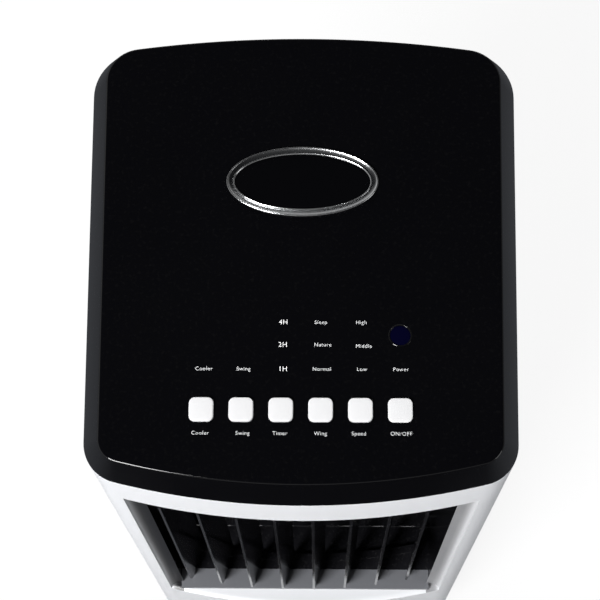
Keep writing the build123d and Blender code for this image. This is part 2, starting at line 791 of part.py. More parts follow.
with BuildPart() as fan_motor:
    flange_top = motor_low + motor_flange_h
    rod(0, fan_y, motor_low, flange_top, motor_flange_r)
    rod(0, fan_y, flange_top, motor_low + motor_h, motor_r)
    rod(0, fan_y, motor_low, motor_low + motor_h - motor_flange_h, shaft_r + running, Mode.SUBTRACT)
    with Locations((0, fan_y, flange_top)):
        with PolarLocations(motor_flange_r - motor_hole_inset, 4, start_angle=45):
            Hole(motor_hole_r, depth=motor_flange_h)
save(fan_motor.part, "fan_motor")

# Rear grille: a slotted piece of the bowed back with a boxed rim that holds the dust filter
slot_rows = int((intake_h - 2 * slot_margin) // slot_pitch)
with BuildPart() as rear_grille:
    extrude(plan(intake_z), amount=intake_h)
    hollow_x = intake_half - wall
    with BuildPart(mode=Mode.PRIVATE) as hollow:
        extrude(plan(intake_z + wall, wall), amount=intake_h - 2 * wall)
        slab((-hollow_x, hollow_x), (0, depth), (0, height), Mode.INTERSECT)
    add(hollow.part, mode=Mode.SUBTRACT)
    slab((-intake_half, intake_half), (rim_y, depth), (0, height), Mode.INTERSECT)
    with BuildSketch(Plane.XZ.offset(-rim_y - wall)) as slots:
        with Locations((0, intake_z + intake_h / 2)):
            with GridLocations(intake_half, slot_pitch, 2, slot_rows):
                SlotOverall(intake_half - slot_margin, slot_h)
    extrude(slots.sketch, amount=-depth, mode=Mode.SUBTRACT)
save(rear_grille.part, "rear_grille")

with BuildPart() as dust_filter:
    edge = hollow_x - play
    sheet_y = rim_y + filter_inset
    sheet_z = (intake_z + wall + play, intake_top - wall - play)
    slab((-edge, edge), (sheet_y, sheet_y + filter_t), sheet_z)
save(dust_filter.part, "dust_filter")

# Cooling pad in its frame, which stands on the deck
with BuildPart() as pad_frame:
    slab((-intake_half, intake_half), (pad_front, pad_back), (deck_top, intake_top))
    slab((-bar_half, bar_half), (0, depth), (deck_top + pad_bar, intake_top - pad_bar), Mode.SUBTRACT)
    slab(drain_x, drain_y, (deck_top, deck_top + pad_bar), Mode.SUBTRACT)
    with BuildSketch(Plane.XY.offset(intake_top - pad_bar)) as drips:
        with Locations((0, pad_back - pad_t / 2)):
            with GridLocations(2 * bar_half / drip_count, 1, drip_count, 1):
                Circle(drip_r)
    extrude(drips.sketch, amount=pad_bar, mode=Mode.SUBTRACT)
save(pad_frame.part, "pad_frame")

with BuildPart() as cooling_pad:
    pad_z = (deck_top + pad_bar + play, intake_top - pad_bar - play)
    slab((-pad_half, pad_half), (pad_front + pad_inset, pad_back - pad_inset), pad_z)
save(cooling_pad.part, "cooling_pad")

# Water feed: an open trough above the pad, filled by a riser from the pump in the tank
with BuildPart() as feed_trough:
    slab((-intake_half, intake_half), (feed_front, pad_back), (intake_top, intake_top + feed_h))
    trough_y = (feed_front + wall, pad_back - wall)
    slab((-bar_half, bar_half), trough_y, (intake_top + wall, height), Mode.SUBTRACT)
    rod(riser_x, riser_y, intake_top, intake_top + wall, riser_r + fit_gap, Mode.SUBTRACT)
    with BuildSketch(Plane.XY.offset(intake_top)) as drips:
        with Locations((0, pad_back - pad_t / 2)):
            with GridLocations(2 * bar_half / drip_count, 1, drip_count, 1):
                Circle(drip_r)
    extrude(drips.sketch, amount=wall, mode=Mode.SUBTRACT)
save(feed_trough.part, "feed_trough")

pump_low = tank_z + wall + pump_lift
pump_top = pump_low + pump_h
with BuildPart() as riser_pipe:
    spout = intake_top + wall + riser_over
    rod(riser_x, riser_y, pump_top, spout, riser_r)
    rod(riser_x, riser_y, pump_top, spout, riser_bore_r, Mode.SUBTRACT)
save(riser_pipe.part, "riser_pipe")

with BuildPart() as pump:
    with BuildSketch(Plane.XY.offset(pump_low)) as case:
        with Locations((riser_x, riser_y)):
            RectangleRounded(pump_x, pump_y, pump_corner_r)
    extrude(case.sketch, amount=pump_h)
    bracket_y = riser_y - pump_y / 2
    bracket_x = (riser_x - bracket_half, riser_x + bracket_half)
    slab(bracket_x, (bracket_y - wall, bracket_y), (pump_low, deck_z))
    for rise in inlet_slots:
        level = pump_low + rise
        slot_y = (riser_y + pump_y / 2 - inlet_slot_h, depth)
        slab(bracket_x, slot_y, (level, level + inlet_slot_h), Mode.SUBTRACT)
save(pump.part, "pump")
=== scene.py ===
"""Looks of a tower evaporative air cooler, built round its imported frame. Metres, +Z up, outlet at -Y."""
import json
import math

import bmesh
import bpy
from mathutils import Matrix, Vector


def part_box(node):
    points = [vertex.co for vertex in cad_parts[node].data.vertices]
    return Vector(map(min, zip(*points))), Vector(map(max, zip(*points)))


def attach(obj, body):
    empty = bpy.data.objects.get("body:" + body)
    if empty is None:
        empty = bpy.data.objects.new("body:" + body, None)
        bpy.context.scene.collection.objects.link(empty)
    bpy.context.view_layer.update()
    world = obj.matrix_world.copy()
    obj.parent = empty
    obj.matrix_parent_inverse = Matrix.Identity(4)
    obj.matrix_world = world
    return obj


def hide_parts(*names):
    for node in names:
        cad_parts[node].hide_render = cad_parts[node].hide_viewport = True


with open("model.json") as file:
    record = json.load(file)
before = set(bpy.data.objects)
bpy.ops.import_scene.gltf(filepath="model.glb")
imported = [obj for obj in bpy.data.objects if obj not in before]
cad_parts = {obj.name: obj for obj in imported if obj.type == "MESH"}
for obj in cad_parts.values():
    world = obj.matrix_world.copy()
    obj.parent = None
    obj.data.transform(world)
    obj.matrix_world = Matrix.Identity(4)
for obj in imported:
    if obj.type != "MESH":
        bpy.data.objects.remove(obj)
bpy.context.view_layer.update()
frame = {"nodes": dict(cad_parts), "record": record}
scene = bpy.context.scene
MM = 0.001

# Plan of the housing, in metres: the same rounded rectangle with bowed ends as its shells
FRONT_HALF = 139.3 * MM
BACK_HALF = 146.0 * MM
FRONT_BOW = 500.0 * MM
BACK_BOW = 790.0 * MM
FRONT_CORNER = 27.0 * MM
BACK_CORNER = 35.0 * MM
HALF_DEPTH = 165.0 * MM
WALL = 2.5 * MM
SIDE_BEVEL = 11.6 * MM
END_BEVEL = 9.2 * MM

SHELL_ROUND = 0.35 * MM
KEY_HALF = 7.8 * MM
KEY_ROUND = 3.8 * MM
KEY_GAP = 0.3 * MM
LENS_R = 6.73 * MM
BEZEL_IN = 11.0 * MM
BEZEL_UP = 1.5 * MM
BEZEL_STEPS = 8
# deeper than the front's bow across the outlet, far short of the housing's depth
BOW_DEPTH = 30 * MM
# power of the painted shade's falloff into the outlet's reveals
PAINTED_SHADE_POWER = 6.0
BUMP_HEIGHT = 0.2 * MM
PRINT_THICK = 0.03 * MM
FONT_CAPITAL = 0.73

# Words and hours on the cap: text, then its middle in millimetres along X and Y
LEGEND_WORDS = (
    ("Sleep", 12.6, -49.4), ("High", 38.7, -49.4),
    ("Nature", 13.9, -64.6), ("Middle", 40.2, -65.4),
    ("Cooler", -62.1, -80.9), ("Swing", -36.8, -80.9), ("Normal", 13.3, -80.9),
    ("Low", 38.9, -80.9), ("Power", 63.8, -80.9),
    ("Cooler", -63.4, -123.2), ("Swing", -36.6, -123.2), ("Timer", -13.0, -123.2),
    ("Wing", 12.6, -123.2), ("Speed", 36.8, -123.2), ("ON/OFF", 63.6, -123.2),
)
LEGEND_HOURS = (("4H", -11.6, -49.4), ("2H", -11.8, -64.6), ("1H", -11.6, -80.9))


# ---------------------------------------------------------------- meshes

def linked(name, mesh):
    """An object for a mesh, in the frame's own place."""
    piece = bpy.data.objects.new(name, mesh)
    scene.collection.objects.link(piece)
    return piece


def new_piece(name, verts, faces, smooth_angle=35):
    """A piece with its doubles merged and its faces outwards, smooth except at edges sharper than an angle."""
    mesh = bpy.data.meshes.new(name)
    mesh.from_pydata([tuple(v) for v in verts], [], faces)
    mesh.validate()
    shape = bmesh.new()
    shape.from_mesh(mesh)
    bmesh.ops.remove_doubles(shape, verts=shape.verts, dist=1e-6)
    bmesh.ops.recalc_face_normals(shape, faces=shape.faces)
    shape.to_mesh(mesh)
    shape.free()
    piece = linked(name, mesh)
    smooth(piece, smooth_angle)
    return piece


def smooth(piece, angle):
    """Smooth shading, broken at edges sharper than an angle."""
    piece.data.shade_smooth()
    piece.data.set_sharp_from_angle(angle=math.radians(angle))


def loft(name, rings, closed_loop=False, smooth_angle=35):
    """Skin a list of rings of equally many points; the ends are filled, or joined to each other."""
    count = len(rings[0])
    verts = [point for ring in rings for point in ring]
    faces = []
    pairs = [(k, k + 1) for k in range(len(rings) - 1)]
    if closed_loop:
        pairs.append((len(rings) - 1, 0))
    for low, high in pairs:
        for i in range(count):
            j = (i + 1) % count
            faces.append((low * count + i, low * count + j, high * count + j, high * count + i))
    if not closed_loop:
        faces.append(tuple(reversed(range(count))))
        faces.append(tuple((len(rings) - 1) * count + i for i in range(count)))
    return new_piece(name, verts, faces, smooth_angle)


def arc(centre, radius, start, end, steps):
    """Points of an arc in plan, ends included."""
    return [
        (centre[0] + radius * math.cos(start + (end - start) * k / steps),
         centre[1] + radius * math.sin(start + (end - start) * k / steps))
        for k in range(steps + 1)
    ]


def bow_corner(bow_centre, bow_r, on_side, side_dir, inward, corner_r):
    """Centre of a corner round that touches a bow and a straight side."""
    start = Vector(on_side) + Vector(inward) * corner_r
    step = Vector(side_dir)
    away = start - Vector(bow_centre)
    reach = bow_r - corner_r
    half = away.dot(step)
    root = math.sqrt(half * half - away.length_squared + reach * reach)
    return start + step * (root - half)


def outline(side=0.0, end=0.0):
    """Bow centres and radii, corner rounds and their angles of the plan, moved in at its sides and ends."""
    xf, xb = FRONT_HALF - side, BACK_HALF - side
    front_centre = Vector((0, FRONT_BOW - HALF_DEPTH))
    back_centre = Vector((0, HALF_DEPTH - BACK_BOW))
    front_r, back_r = FRONT_BOW - end, BACK_BOW - end
    yf = front_centre.y - math.sqrt(front_r ** 2 - xf ** 2)
    yb = back_centre.y + math.sqrt(back_r ** 2 - xb ** 2)
    along = Vector((xb - xf, yb - yf)).normalized()
    inward = Vector((-along.y, along.x))
    rf, rb = max(FRONT_CORNER - side, MM), max(BACK_CORNER - side, MM)
    fc = bow_corner(front_centre, front_r, (xf, yf), -along, inward, rf)
    bc = bow_corner(back_centre, back_r, (xb, yb), along, inward, rb)
    side_angle = math.atan2(-inward.y, -inward.x)
    front_angle = math.atan2(fc.y - front_centre.y, fc.x)
    back_angle = math.atan2(bc.y - back_centre.y, bc.x)
    return {
        "front": (front_centre, front_r, front_angle), "back": (back_centre, back_r, back_angle),
        "front_corner": (fc, rf), "back_corner": (bc, rb), "side_angle": side_angle,
    }


def plan_ring(side, end, level):
    """The housing's outline at a level, moved in by side at the sides and by end at the ends."""
    bow_steps, corner_steps = 28, 14
    shape = outline(side, end)
    front_centre, front_r, front_angle = shape["front"]
    back_centre, back_r, back_angle = shape["back"]
    half = arc(front_centre, front_r, -math.pi / 2, front_angle, bow_steps)
    half += arc(*shape["front_corner"], front_angle, shape["side_angle"], corner_steps)[1:]
    half += arc(*shape["back_corner"], shape["side_angle"], back_angle, corner_steps)
    half += arc(back_centre, back_r, back_angle, math.pi / 2, bow_steps)[1:]
    other = [(-x, y) for x, y in reversed(half[1:-1])]
    return [Vector((x, y, level)) for x, y in half + other]


def bow_point(bow, x):
    """Point of a bowed end at x."""
    centre, radius, _ = bow
    reach = math.sqrt(radius ** 2 - x ** 2)
    return Vector((x, centre.y - reach if centre.y > 0 else centre.y + reach))


def side_point(shape, y):
    """Point of the right-hand side wall's outline at y."""
    turn = shape["side_angle"]
    start = shape["front_corner"][0] + shape["front_corner"][1] * Vector((math.cos(turn), math.sin(turn)))
    along = Vector((-math.sin(turn), math.cos(turn)))
    return start + along * ((y - start.y) / along.y)


def end_columns(shape, end, stops, seam_y):
    """Outline points and outward directions of an end shell, from its left seam to its right one."""
    corner_steps = 12
    bow = shape[end]
    centre, _, angle = bow
    corner, corner_r = shape[f"{end}_corner"]
    turn = shape["side_angle"]
    right = []
    for x in stops:
        place = bow_point(bow, x)
        right.append((place, (place - centre).normalized()))
    for k in range(corner_steps + 1):
        a = angle + (turn - angle) * k / corner_steps
        away = Vector((math.cos(a), math.sin(a)))
        right.append((corner + corner_r * away, away))
    right.append((side_point(shape, seam_y), Vector((math.cos(turn), math.sin(turn)))))
    left = [(Vector((-p.x, p.y)), Vector((-n.x, n.y))) for p, n in reversed(right[1:])]
    return left + right


def shell_faces(columns, levels, is_open):
    """Outer and inner skins of a wall along columns, with rims wherever a cell borders an open one."""
    outer = [[Vector((*p, z)) for z in levels] for p, _ in columns]
    inner = [[Vector((*(p - n * WALL), z)) for z in levels] for p, n in columns]
    wide, tall = len(columns) - 1, len(levels) - 1
    quads = []

    def solid(i, k):
        return 0 <= i < wide and 0 <= k < tall and not is_open(i, k)

    for i in range(wide):
        for k in range(tall):
            if not solid(i, k):
                continue
            cell = ((i, k), (i + 1, k), (i + 1, k + 1), (i, k + 1))
            quads.append([outer[a][b] for a, b in cell])
            quads.append([inner[a][b] for a, b in reversed(cell)])
            sides = (((i, k - 1), 0), ((i + 1, k), 1), ((i, k + 1), 2), ((i - 1, k), 3))
            for (a, b), edge in sides:
                if solid(a, b):
                    continue
                p, q = cell[edge], cell[(edge + 1) % 4]
                quads.append([outer[q[0]][q[1]], outer[p[0]][p[1]], inner[p[0]][p[1]], inner[q[0]][q[1]]])
    return quads


def from_quads(name, quads, angle=40, spare=lambda place: False):
    """A piece from loose quads: merged, turned outwards, its sharp edges rounded off but for spared ones."""
    verts, faces = [], []
    for quad in quads:
        faces.append(tuple(range(len(verts), len(verts) + len(quad))))
        verts += quad
    mesh = bpy.data.meshes.new(name)
    mesh.from_pydata([tuple(v) for v in verts], [], faces)
    shape = bmesh.new()
    shape.from_mesh(mesh)
    bmesh.ops.remove_doubles(shape, verts=shape.verts, dist=0.02 * MM)
    bmesh.ops.dissolve_degenerate(shape, edges=shape.edges, dist=0.005 * MM)
    bmesh.ops.recalc_face_normals(shape, faces=shape.faces)
    return round_edges(linked(name, mesh), shape, SHELL_ROUND, angle, 35, 50, spare)


def round_edges(piece, shape, width, angle, smooth_angle, weight, spare=lambda place: False):
    """Round the edges sharper than an angle, hand the shape to its piece and even out its normals."""
    limit = math.radians(angle)
    sharp = [e for e in shape.edges if len(e.link_faces) == 2 and e.calc_face_angle(0) > limit
             and not all(spare(v.co) for v in e.verts)]
    bmesh.ops.bevel(shape, geom=sharp, offset=width, offset_type="OFFSET", segments=2, profile=0.5,
                    affect="EDGES", clamp_overlap=True)
    shape.to_mesh(piece.data)
    shape.free()
    smooth(piece, smooth_angle)
    flats = piece.modifiers.new("flats", "WEIGHTED_NORMAL")
    flats.keep_sharp = True
    flats.weight = weight
    bake_modifiers(piece)
    return piece


def rounded(points, radius, steps=4):
    """A 2-D line with its inner corners rounded."""
    line = [Vector(points[0])]
    for before, corner, after in zip(points, points[1:], points[2:]):
        a, b, c = Vector(before), Vector(corner), Vector(after)
        inwards, outwards = (a - b), (c - b)
        reach = min(radius, inwards.length / 2.1, outwards.length / 2.1)
        p, q = b + inwards.normalized() * reach, b + outwards.normalized() * reach
        for k in range(steps + 1):
            t = k / steps
            line.append(p * (1 - t) ** 2 + b * 2 * t * (1 - t) + q * t ** 2)
    line.append(Vector(points[-1]))
    return line


def rounded_rect(cx, cy, half_x, half_y, radius, level, steps=6):
    """A rounded rectangle in plan as a ring of points."""
    ring = []
    for k, (sx, sy) in enumerate(((1, 1), (-1, 1), (-1, -1), (1, -1))):
        centre = (cx + sx * (half_x - radius), cy + sy * (half_y - radius))
        start = k * math.pi / 2
        ring += [Vector((x, y, level)) for x, y in arc(centre, radius, start, start + math.pi / 2, steps)]
    return ring


def oval_ring(centre, rx, ry, level, steps=96):
    """An oval in plan as a ring of points."""
    turns = [2 * math.pi * k / steps for k in range(steps)]
    return [Vector((centre[0] + rx * math.cos(t), centre[1] + ry * math.sin(t), level)) for t in turns]


def plan_centre(low, high):
    """Middle of a box in plan."""
    return (low.x + high.x) / 2, (low.y + high.y) / 2


def cut(piece, *cutters):
    """Take cutters away from a piece for good."""
    for cutter in cutters:
        tool = piece.modifiers.new("cut", "BOOLEAN")
        tool.object = cutter
        tool.operation = "DIFFERENCE"
        tool.solver = "EXACT"
    bake_modifiers(piece)
    for cutter in cutters:
        bpy.data.objects.remove(cutter)


def bake_modifiers(piece):
    """Make the evaluated shape the piece's own mesh, and remove its modifiers."""
    bpy.context.view_layer.update()
    evaluated = piece.evaluated_get(bpy.context.evaluated_depsgraph_get())
    mesh = bpy.data.meshes.new_from_object(evaluated)
    piece.modifiers.clear()
    piece.data = mesh


def soften(node, width):
    """A copy of a CAD node with every sharp edge rounded over, standing for that node."""
    mesh = frame["nodes"][node].data.copy()
    piece = linked(f"{node}_moulded", mesh)
    shape = bmesh.new()
    shape.from_mesh(mesh)
    bmesh.ops.remove_doubles(shape, verts=shape.verts, dist=2e-6)
    flat = math.radians(0.4)
    bmesh.ops.dissolve_limit(shape, angle_limit=flat, verts=shape.verts, edges=shape.edges)
    return round_edges(piece, shape, width, 32, 40, 100)


def settle(piece, body, slot, material, *nodes):
    """Give a finished piece its material and its body, and hide the CAD nodes that it stands for; the slot is not
    used.
    """
    if material is not None:
        piece.data.materials.clear()
        piece.data.materials.append(material)
    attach(piece, body)
    if nodes:
        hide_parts(*nodes)
    return piece


def paint(node, material):
    """A CAD node keeps its shape and gets a better finish."""
    mesh = frame["nodes"][node].data
    mesh.materials.clear()
    mesh.materials.append(material)


# ---------------------------------------------------------------- shader node groups

def add(tree, kind, inputs=(), **settings):
    """A node with its settings. Each input is a value, or the socket that feeds it."""
    node = tree.nodes.new(kind)
    for key, value in settings.items():
        setattr(node, key, value)
    for key, value in dict(inputs).items():
        if isinstance(value, bpy.types.NodeSocket):
            tree.links.new(value, node.inputs[key])
        else:
            node.inputs[key].default_value = value
    return node


def link(tree, source, target):
    """Join two sockets of a tree."""
    tree.links.new(source, target)


def maths(tree, operation, *values):
    """A sum of values or sockets, as a socket."""
    return add(tree, "ShaderNodeMath", enumerate(values), operation=operation).outputs[0]


def mix(tree, factor, first, second):
    """A blend of two colours, as a socket."""
    return add(tree, "ShaderNodeMix", {"Factor": factor, 6: first, 7: second}, data_type="RGBA").outputs[2]


def new_group(name, kind, inputs, outputs):
    """A node group with its sockets, given as {name: kind} or {name: (kind, default)}."""
    group = bpy.data.node_groups.new(name, kind)
    for way, sockets in (("INPUT", inputs), ("OUTPUT", outputs)):
        for label, sort in sockets.items():
            sort, default = sort if isinstance(sort, tuple) else (sort, None)
            item = group.interface.new_socket(name=label, in_out=way, socket_type="NodeSocket" + sort)
            if default is not None:
                item.default_value = default
    return group, add(group, "NodeGroupInput").outputs, add(group, "NodeGroupOutput").inputs


def build_grain():
    """Fine moulded texture: a roughness that wanders and a normal with small bumps."""
    group, inp, out = new_group(
        "moulded_grain", "ShaderNodeTree",
        {"Scale": "Float", "Depth": "Float", "Rough": "Float", "Wander": "Float"},
        {"Roughness": "Float", "Normal": "Vector"})
    place = add(group, "ShaderNodeTexCoord").outputs["Object"]
    fine = add(group, "ShaderNodeTexNoise", {"Vector": place, "Scale": inp["Scale"], "Detail": 2.0})
    bump = add(group, "ShaderNodeBump", {"Distance": BUMP_HEIGHT, "Strength": inp["Depth"],
                                         "Height": fine.outputs["Fac"]})
    wide = add(group, "ShaderNodeTexNoise", {"Vector": place, "Scale": 22.0, "Detail": 4.0})
    centred = maths(group, "SUBTRACT", wide.outputs["Fac"], 0.5)
    link(group, maths(group, "MULTIPLY_ADD", centred, inp["Wander"], inp["Rough"]), out["Roughness"])
    link(group, bump.outputs["Normal"], out["Normal"])
    return group


def build_tint():
    """Slow colour change over a moulding, with a little dust on faces that look up."""
    group, inp, out = new_group(
        "tint_and_dust", "ShaderNodeTree",
        {"Colour": "Color", "Shade": "Color", "Dust Colour": ("Color", (0.5, 0.48, 0.45, 1)), "Dust": "Float",
         "Scale": "Float"}, {"Colour": "Color"})
    place = add(group, "ShaderNodeTexCoord").outputs["Object"]
    cloud = add(group, "ShaderNodeTexNoise", {"Vector": place, "Scale": inp["Scale"], "Detail": 5.0})
    tinted = mix(group, cloud.outputs["Fac"], inp["Colour"], inp["Shade"])
    specks = add(group, "ShaderNodeTexNoise", {"Vector": place, "Scale": 420.0, "Detail": 3.0})
    peaks = add(group, "ShaderNodeMapRange", {"Value": specks.outputs["Fac"], "From Min": 0.55, "From Max": 0.75})
    normal = add(group, "ShaderNodeNewGeometry").outputs["Normal"]
    facing = add(group, "ShaderNodeSeparateXYZ", {"Vector": normal}).outputs["Z"]
    lying = maths(group, "MULTIPLY", peaks.outputs["Result"], maths(group, "MAXIMUM", facing, 0.0))
    amount = maths(group, "MULTIPLY", lying, inp["Dust"])
    link(group, mix(group, amount, tinted, inp["Dust Colour"]), out["Colour"])
    return group


def build_reveal_painted_shade():
    """Painted shade: the colour darkens into the outlet, fast at the rim, darker on the left than on the right."""
    group, inp, out = new_group(
        "reveal_fade", "ShaderNodeTree",
        {"Colour": "Color", "Painted Shade Left": ("Color", (0.01, 0.01, 0.012, 1)),
         "Painted Shade Right": ("Color", (0.3, 0.3, 0.31, 1)), "Rim": "Float", "Inner": "Float", "Low": "Float",
         "High": "Float"}, {"Colour": "Color"})
    place = add(group, "ShaderNodeTexCoord").outputs["Object"]
    x, _, z = add(group, "ShaderNodeSeparateXYZ", {0: place}).outputs
    across = maths(group, "ABSOLUTE", x)
    left = add(group, "ShaderNodeMapRange", {"Value": across, "From Min": inp["Inner"], "From Max": inp["Rim"]})
    shade_amount = maths(group, "SUBTRACT", 1.0, maths(group, "POWER", left.outputs["Result"], PAINTED_SHADE_POWER))
    between = maths(group, "MULTIPLY", maths(group, "GREATER_THAN", z, inp["Low"]),
                    maths(group, "LESS_THAN", z, inp["High"]))
    at_side = maths(group, "MULTIPLY", between, maths(group, "GREATER_THAN", across, inp["Inner"]))
    choice = mix(group, maths(group, "GREATER_THAN", x, 0.0), inp["Painted Shade Left"], inp["Painted Shade Right"])
    shaded_colour = mix(group, maths(group, "MULTIPLY", shade_amount, at_side), inp["Colour"], choice)
    link(group, shaded_colour, out["Colour"])
    return group


GRAIN = build_grain()
TINT = build_tint()
REVEAL_PAINTED_SHADE = build_reveal_painted_shade()


def paint_shade_into_outlet(mat, rim, inner, low, high):
    """Paints shade into the shell colour between the outlet's rim and its inner edge."""
    tree = mat.node_tree
    colour = tree.nodes["Principled BSDF"].inputs["Base Color"]
    shade_node = add(tree, "ShaderNodeGroup", node_tree=REVEAL_PAINTED_SHADE)
    link(tree, colour.links[0].from_socket, shade_node.inputs["Colour"])
    for name, value in (("Rim", rim), ("Inner", inner), ("Low", low), ("High", high)):
        shade_node.inputs[name].default_value = value
    link(tree, shade_node.outputs["Colour"], colour)


def finish_of(name, colour, rough, shade=None, grain=900.0, depth=0.1, wander=0.06, dust=0.04, metallic=0.0,
              transmission=0.0, ior=1.5, tint_scale=9.0):
    """A procedural finish: tinted colour with dust, wandering roughness and fine bumps."""
    mat = bpy.data.materials.new(name)
    mat.use_nodes = True
    tree = mat.node_tree
    shader = tree.nodes["Principled BSDF"]
    tint = add(tree, "ShaderNodeGroup", node_tree=TINT)
    skin = add(tree, "ShaderNodeGroup", node_tree=GRAIN)
    shade = shade or tuple(c * 0.9 for c in colour)
    for node, values in (
        (tint, {"Colour": (*colour, 1), "Shade": (*shade, 1), "Dust": dust, "Scale": tint_scale}),
        (skin, {"Scale": grain, "Depth": depth, "Rough": rough, "Wander": wander}),
        (shader, {"Metallic": metallic, "Transmission Weight": transmission, "IOR": ior}),
    ):
        for key, value in values.items():
            node.inputs[key].default_value = value
    link(tree, tint.outputs["Colour"], shader.inputs["Base Color"])
    link(tree, skin.outputs["Roughness"], shader.inputs["Roughness"])
    link(tree, skin.outputs["Normal"], shader.inputs["Normal"])
    return mat


cap_gloss = finish_of("piano_black", (0.0018, 0.0018, 0.0024), 0.09, shade=(0.0024, 0.0024, 0.003),
                      grain=350, depth=0.015, wander=0.05, dust=0.003)
badge_gloss = finish_of("badge_black", (0.002, 0.002, 0.0025), 0.06, grain=300, depth=0.01, wander=0.03, dust=0.0)
bright_plate = finish_of("bright_plate", (0.78, 0.79, 0.8), 0.2, grain=700, depth=0.03, metallic=1.0, dust=0.0)
lens_dark = finish_of("receiver_lens_navy", (0.0012, 0.0012, 0.012), 0.05, depth=0.01, dust=0.0)
key_white = finish_of("key_white", (0.79, 0.79, 0.8), 0.4, grain=1200, depth=0.05, dust=0.0)
print_white = finish_of("legend_print", (0.95, 0.96, 0.97), 0.5, shade=(0.92, 0.93, 0.94), dust=0.0)
print_bold = finish_of("legend_print_bright", (1.0, 1.0, 1.0), 0.5, shade=(0.97, 0.97, 0.97), dust=0.0)
WHITE_SHELL = dict(colour=(0.83, 0.84, 0.865), rough=0.3, shade=(0.82, 0.83, 0.855), grain=1100, depth=0.01,
                   wander=0.015, dust=0.02, tint_scale=3)
shell_white = finish_of("shell_white", **WHITE_SHELL)
# the front's own copy of the shell white, which gets painted shade in the outlet's side reveals
front_white = finish_of("front_white", **WHITE_SHELL)
louvre_black = finish_of("louvre_black", (0.010, 0.010, 0.012), 0.14, grain=800, depth=0.03, dust=0.02)
# the sill lip's own grey, darkened further as painted shade under the blades
sill_grey = finish_of("sill_grey", (0.17, 0.175, 0.19), 0.35, depth=0.03)
inner_grey = finish_of("inner_grey", (0.05, 0.052, 0.056), 0.5, grain=600, depth=0.15, dust=0.1)
base_black = finish_of("base_black", (0.016, 0.016, 0.018), 0.5, grain=520, depth=0.3, dust=0.08)
fan_grey = finish_of("fan_grey", (0.10, 0.105, 0.11), 0.45, grain=600, dust=0.1)
steel = finish_of("zinc_steel", (0.5, 0.5, 0.52), 0.32, metallic=1.0)
brass = finish_of("sintered_brass", (0.6, 0.42, 0.16), 0.42, grain=1500, depth=0.2, metallic=1.0)
motor_can = finish_of("motor_can", (0.35, 0.36, 0.38), 0.38, grain=700, metallic=0.8)
board_green = finish_of("solder_mask", (0.02, 0.16, 0.07), 0.35, grain=400, depth=0.2)
pad_paper = finish_of("pad_paper", (0.36, 0.22, 0.10), 0.85, shade=(0.26, 0.15, 0.07), grain=500, depth=0.6,
                      tint_scale=60)
filter_nylon = finish_of("filter_nylon", (0.03, 0.03, 0.033), 0.5)
tank_frost = finish_of("tank_frost", (0.62, 0.7, 0.78), 0.42, shade=(0.58, 0.66, 0.74), grain=700, depth=0.15,
                       transmission=0.25, ior=1.45)
window_clear = finish_of("window_clear", (0.75, 0.86, 0.95), 0.08, depth=0.02, transmission=0.9, ior=1.49, dust=0.0)
pipe_milky = finish_of("pipe_milky", (0.7, 0.72, 0.74), 0.35, transmission=0.3)
pump_black = finish_of("pump_black", (0.02, 0.02, 0.022), 0.45, depth=0.15)
rubber = finish_of("rubber", (0.014, 0.014, 0.014), 0.7, grain=450, depth=0.4, dust=0.15)
fork_black = finish_of("fork_black", (0.02, 0.02, 0.022), 0.42, grain=600, depth=0.2)


# ---------------------------------------------------------------- repeating pieces

def build_rows():
    """Geometry nodes: the object's own mesh repeated in rows and columns, odd rows shifted."""
    group, inp, out = new_group(
        "rows_and_columns", "GeometryNodeTree",
        {"Geometry": "Geometry", "Columns": "Int", "Rows": "Int", "Column Step": "Vector", "Row Step": "Vector",
         "Odd Shift": "Vector", "Material": "Material"}, {"Geometry": "Geometry"})
    total = maths(group, "MULTIPLY", inp["Columns"], inp["Rows"])
    index = add(group, "GeometryNodeInputIndex").outputs[0]
    column = maths(group, "MODULO", index, inp["Columns"])
    row = maths(group, "FLOOR", maths(group, "DIVIDE", index, inp["Columns"]))
    odd = maths(group, "MODULO", row, 2)
    moves = [add(group, "ShaderNodeVectorMath", {0: inp[step], "Scale": factor}, operation="SCALE").outputs[0]
             for factor, step in ((column, "Column Step"), (row, "Row Step"), (odd, "Odd Shift"))]
    first = add(group, "ShaderNodeVectorMath", enumerate(moves[:2]), operation="ADD").outputs[0]
    second = add(group, "ShaderNodeVectorMath", {0: first, 1: moves[2]}, operation="ADD").outputs[0]
    finish_tree(group, inp, out, total, second)
    return group


def build_round():
    """Geometry nodes: the object's own mesh repeated round an upright or level axis."""
    group, inp, out = new_group(
        "round_an_axis", "GeometryNodeTree",
        {"Geometry": "Geometry", "Count": "Int", "Axis": "Vector", "Centre": "Vector", "Material": "Material"},
        {"Geometry": "Geometry"})
    share = maths(group, "DIVIDE", add(group, "GeometryNodeInputIndex").outputs[0], inp["Count"])
    angle = maths(group, "MULTIPLY", share, 2 * math.pi)
    turn = add(group, "FunctionNodeAxisAngleToRotation", {"Axis": inp["Axis"], "Angle": angle})
    copies = finish_tree(group, inp, out, inp["Count"], inp["Centre"])
    link(group, turn.outputs[0], copies.inputs["Rotation"])
    return group


def finish_tree(group, inp, out, count, place):
    """End a tree: put the own mesh on as many points, make it real and give it its material."""
    line = add(group, "GeometryNodeMeshLine", {"Offset": (0, 0, 0), "Count": count})
    spread = add(group, "GeometryNodeSetPosition", {"Geometry": line.outputs[0], "Position": place})
    copies = add(group, "GeometryNodeInstanceOnPoints",
                 {"Points": spread.outputs["Geometry"], "Instance": inp["Geometry"]})
    real = add(group, "GeometryNodeRealizeInstances", {"Geometry": copies.outputs["Instances"]})
    finish = add(group, "GeometryNodeSetMaterial",
                 {"Geometry": real.outputs["Geometry"], "Material": inp["Material"]})
    link(group, finish.outputs["Geometry"], out["Geometry"])
    return copies


ROWS = build_rows()
ROUND = build_round()


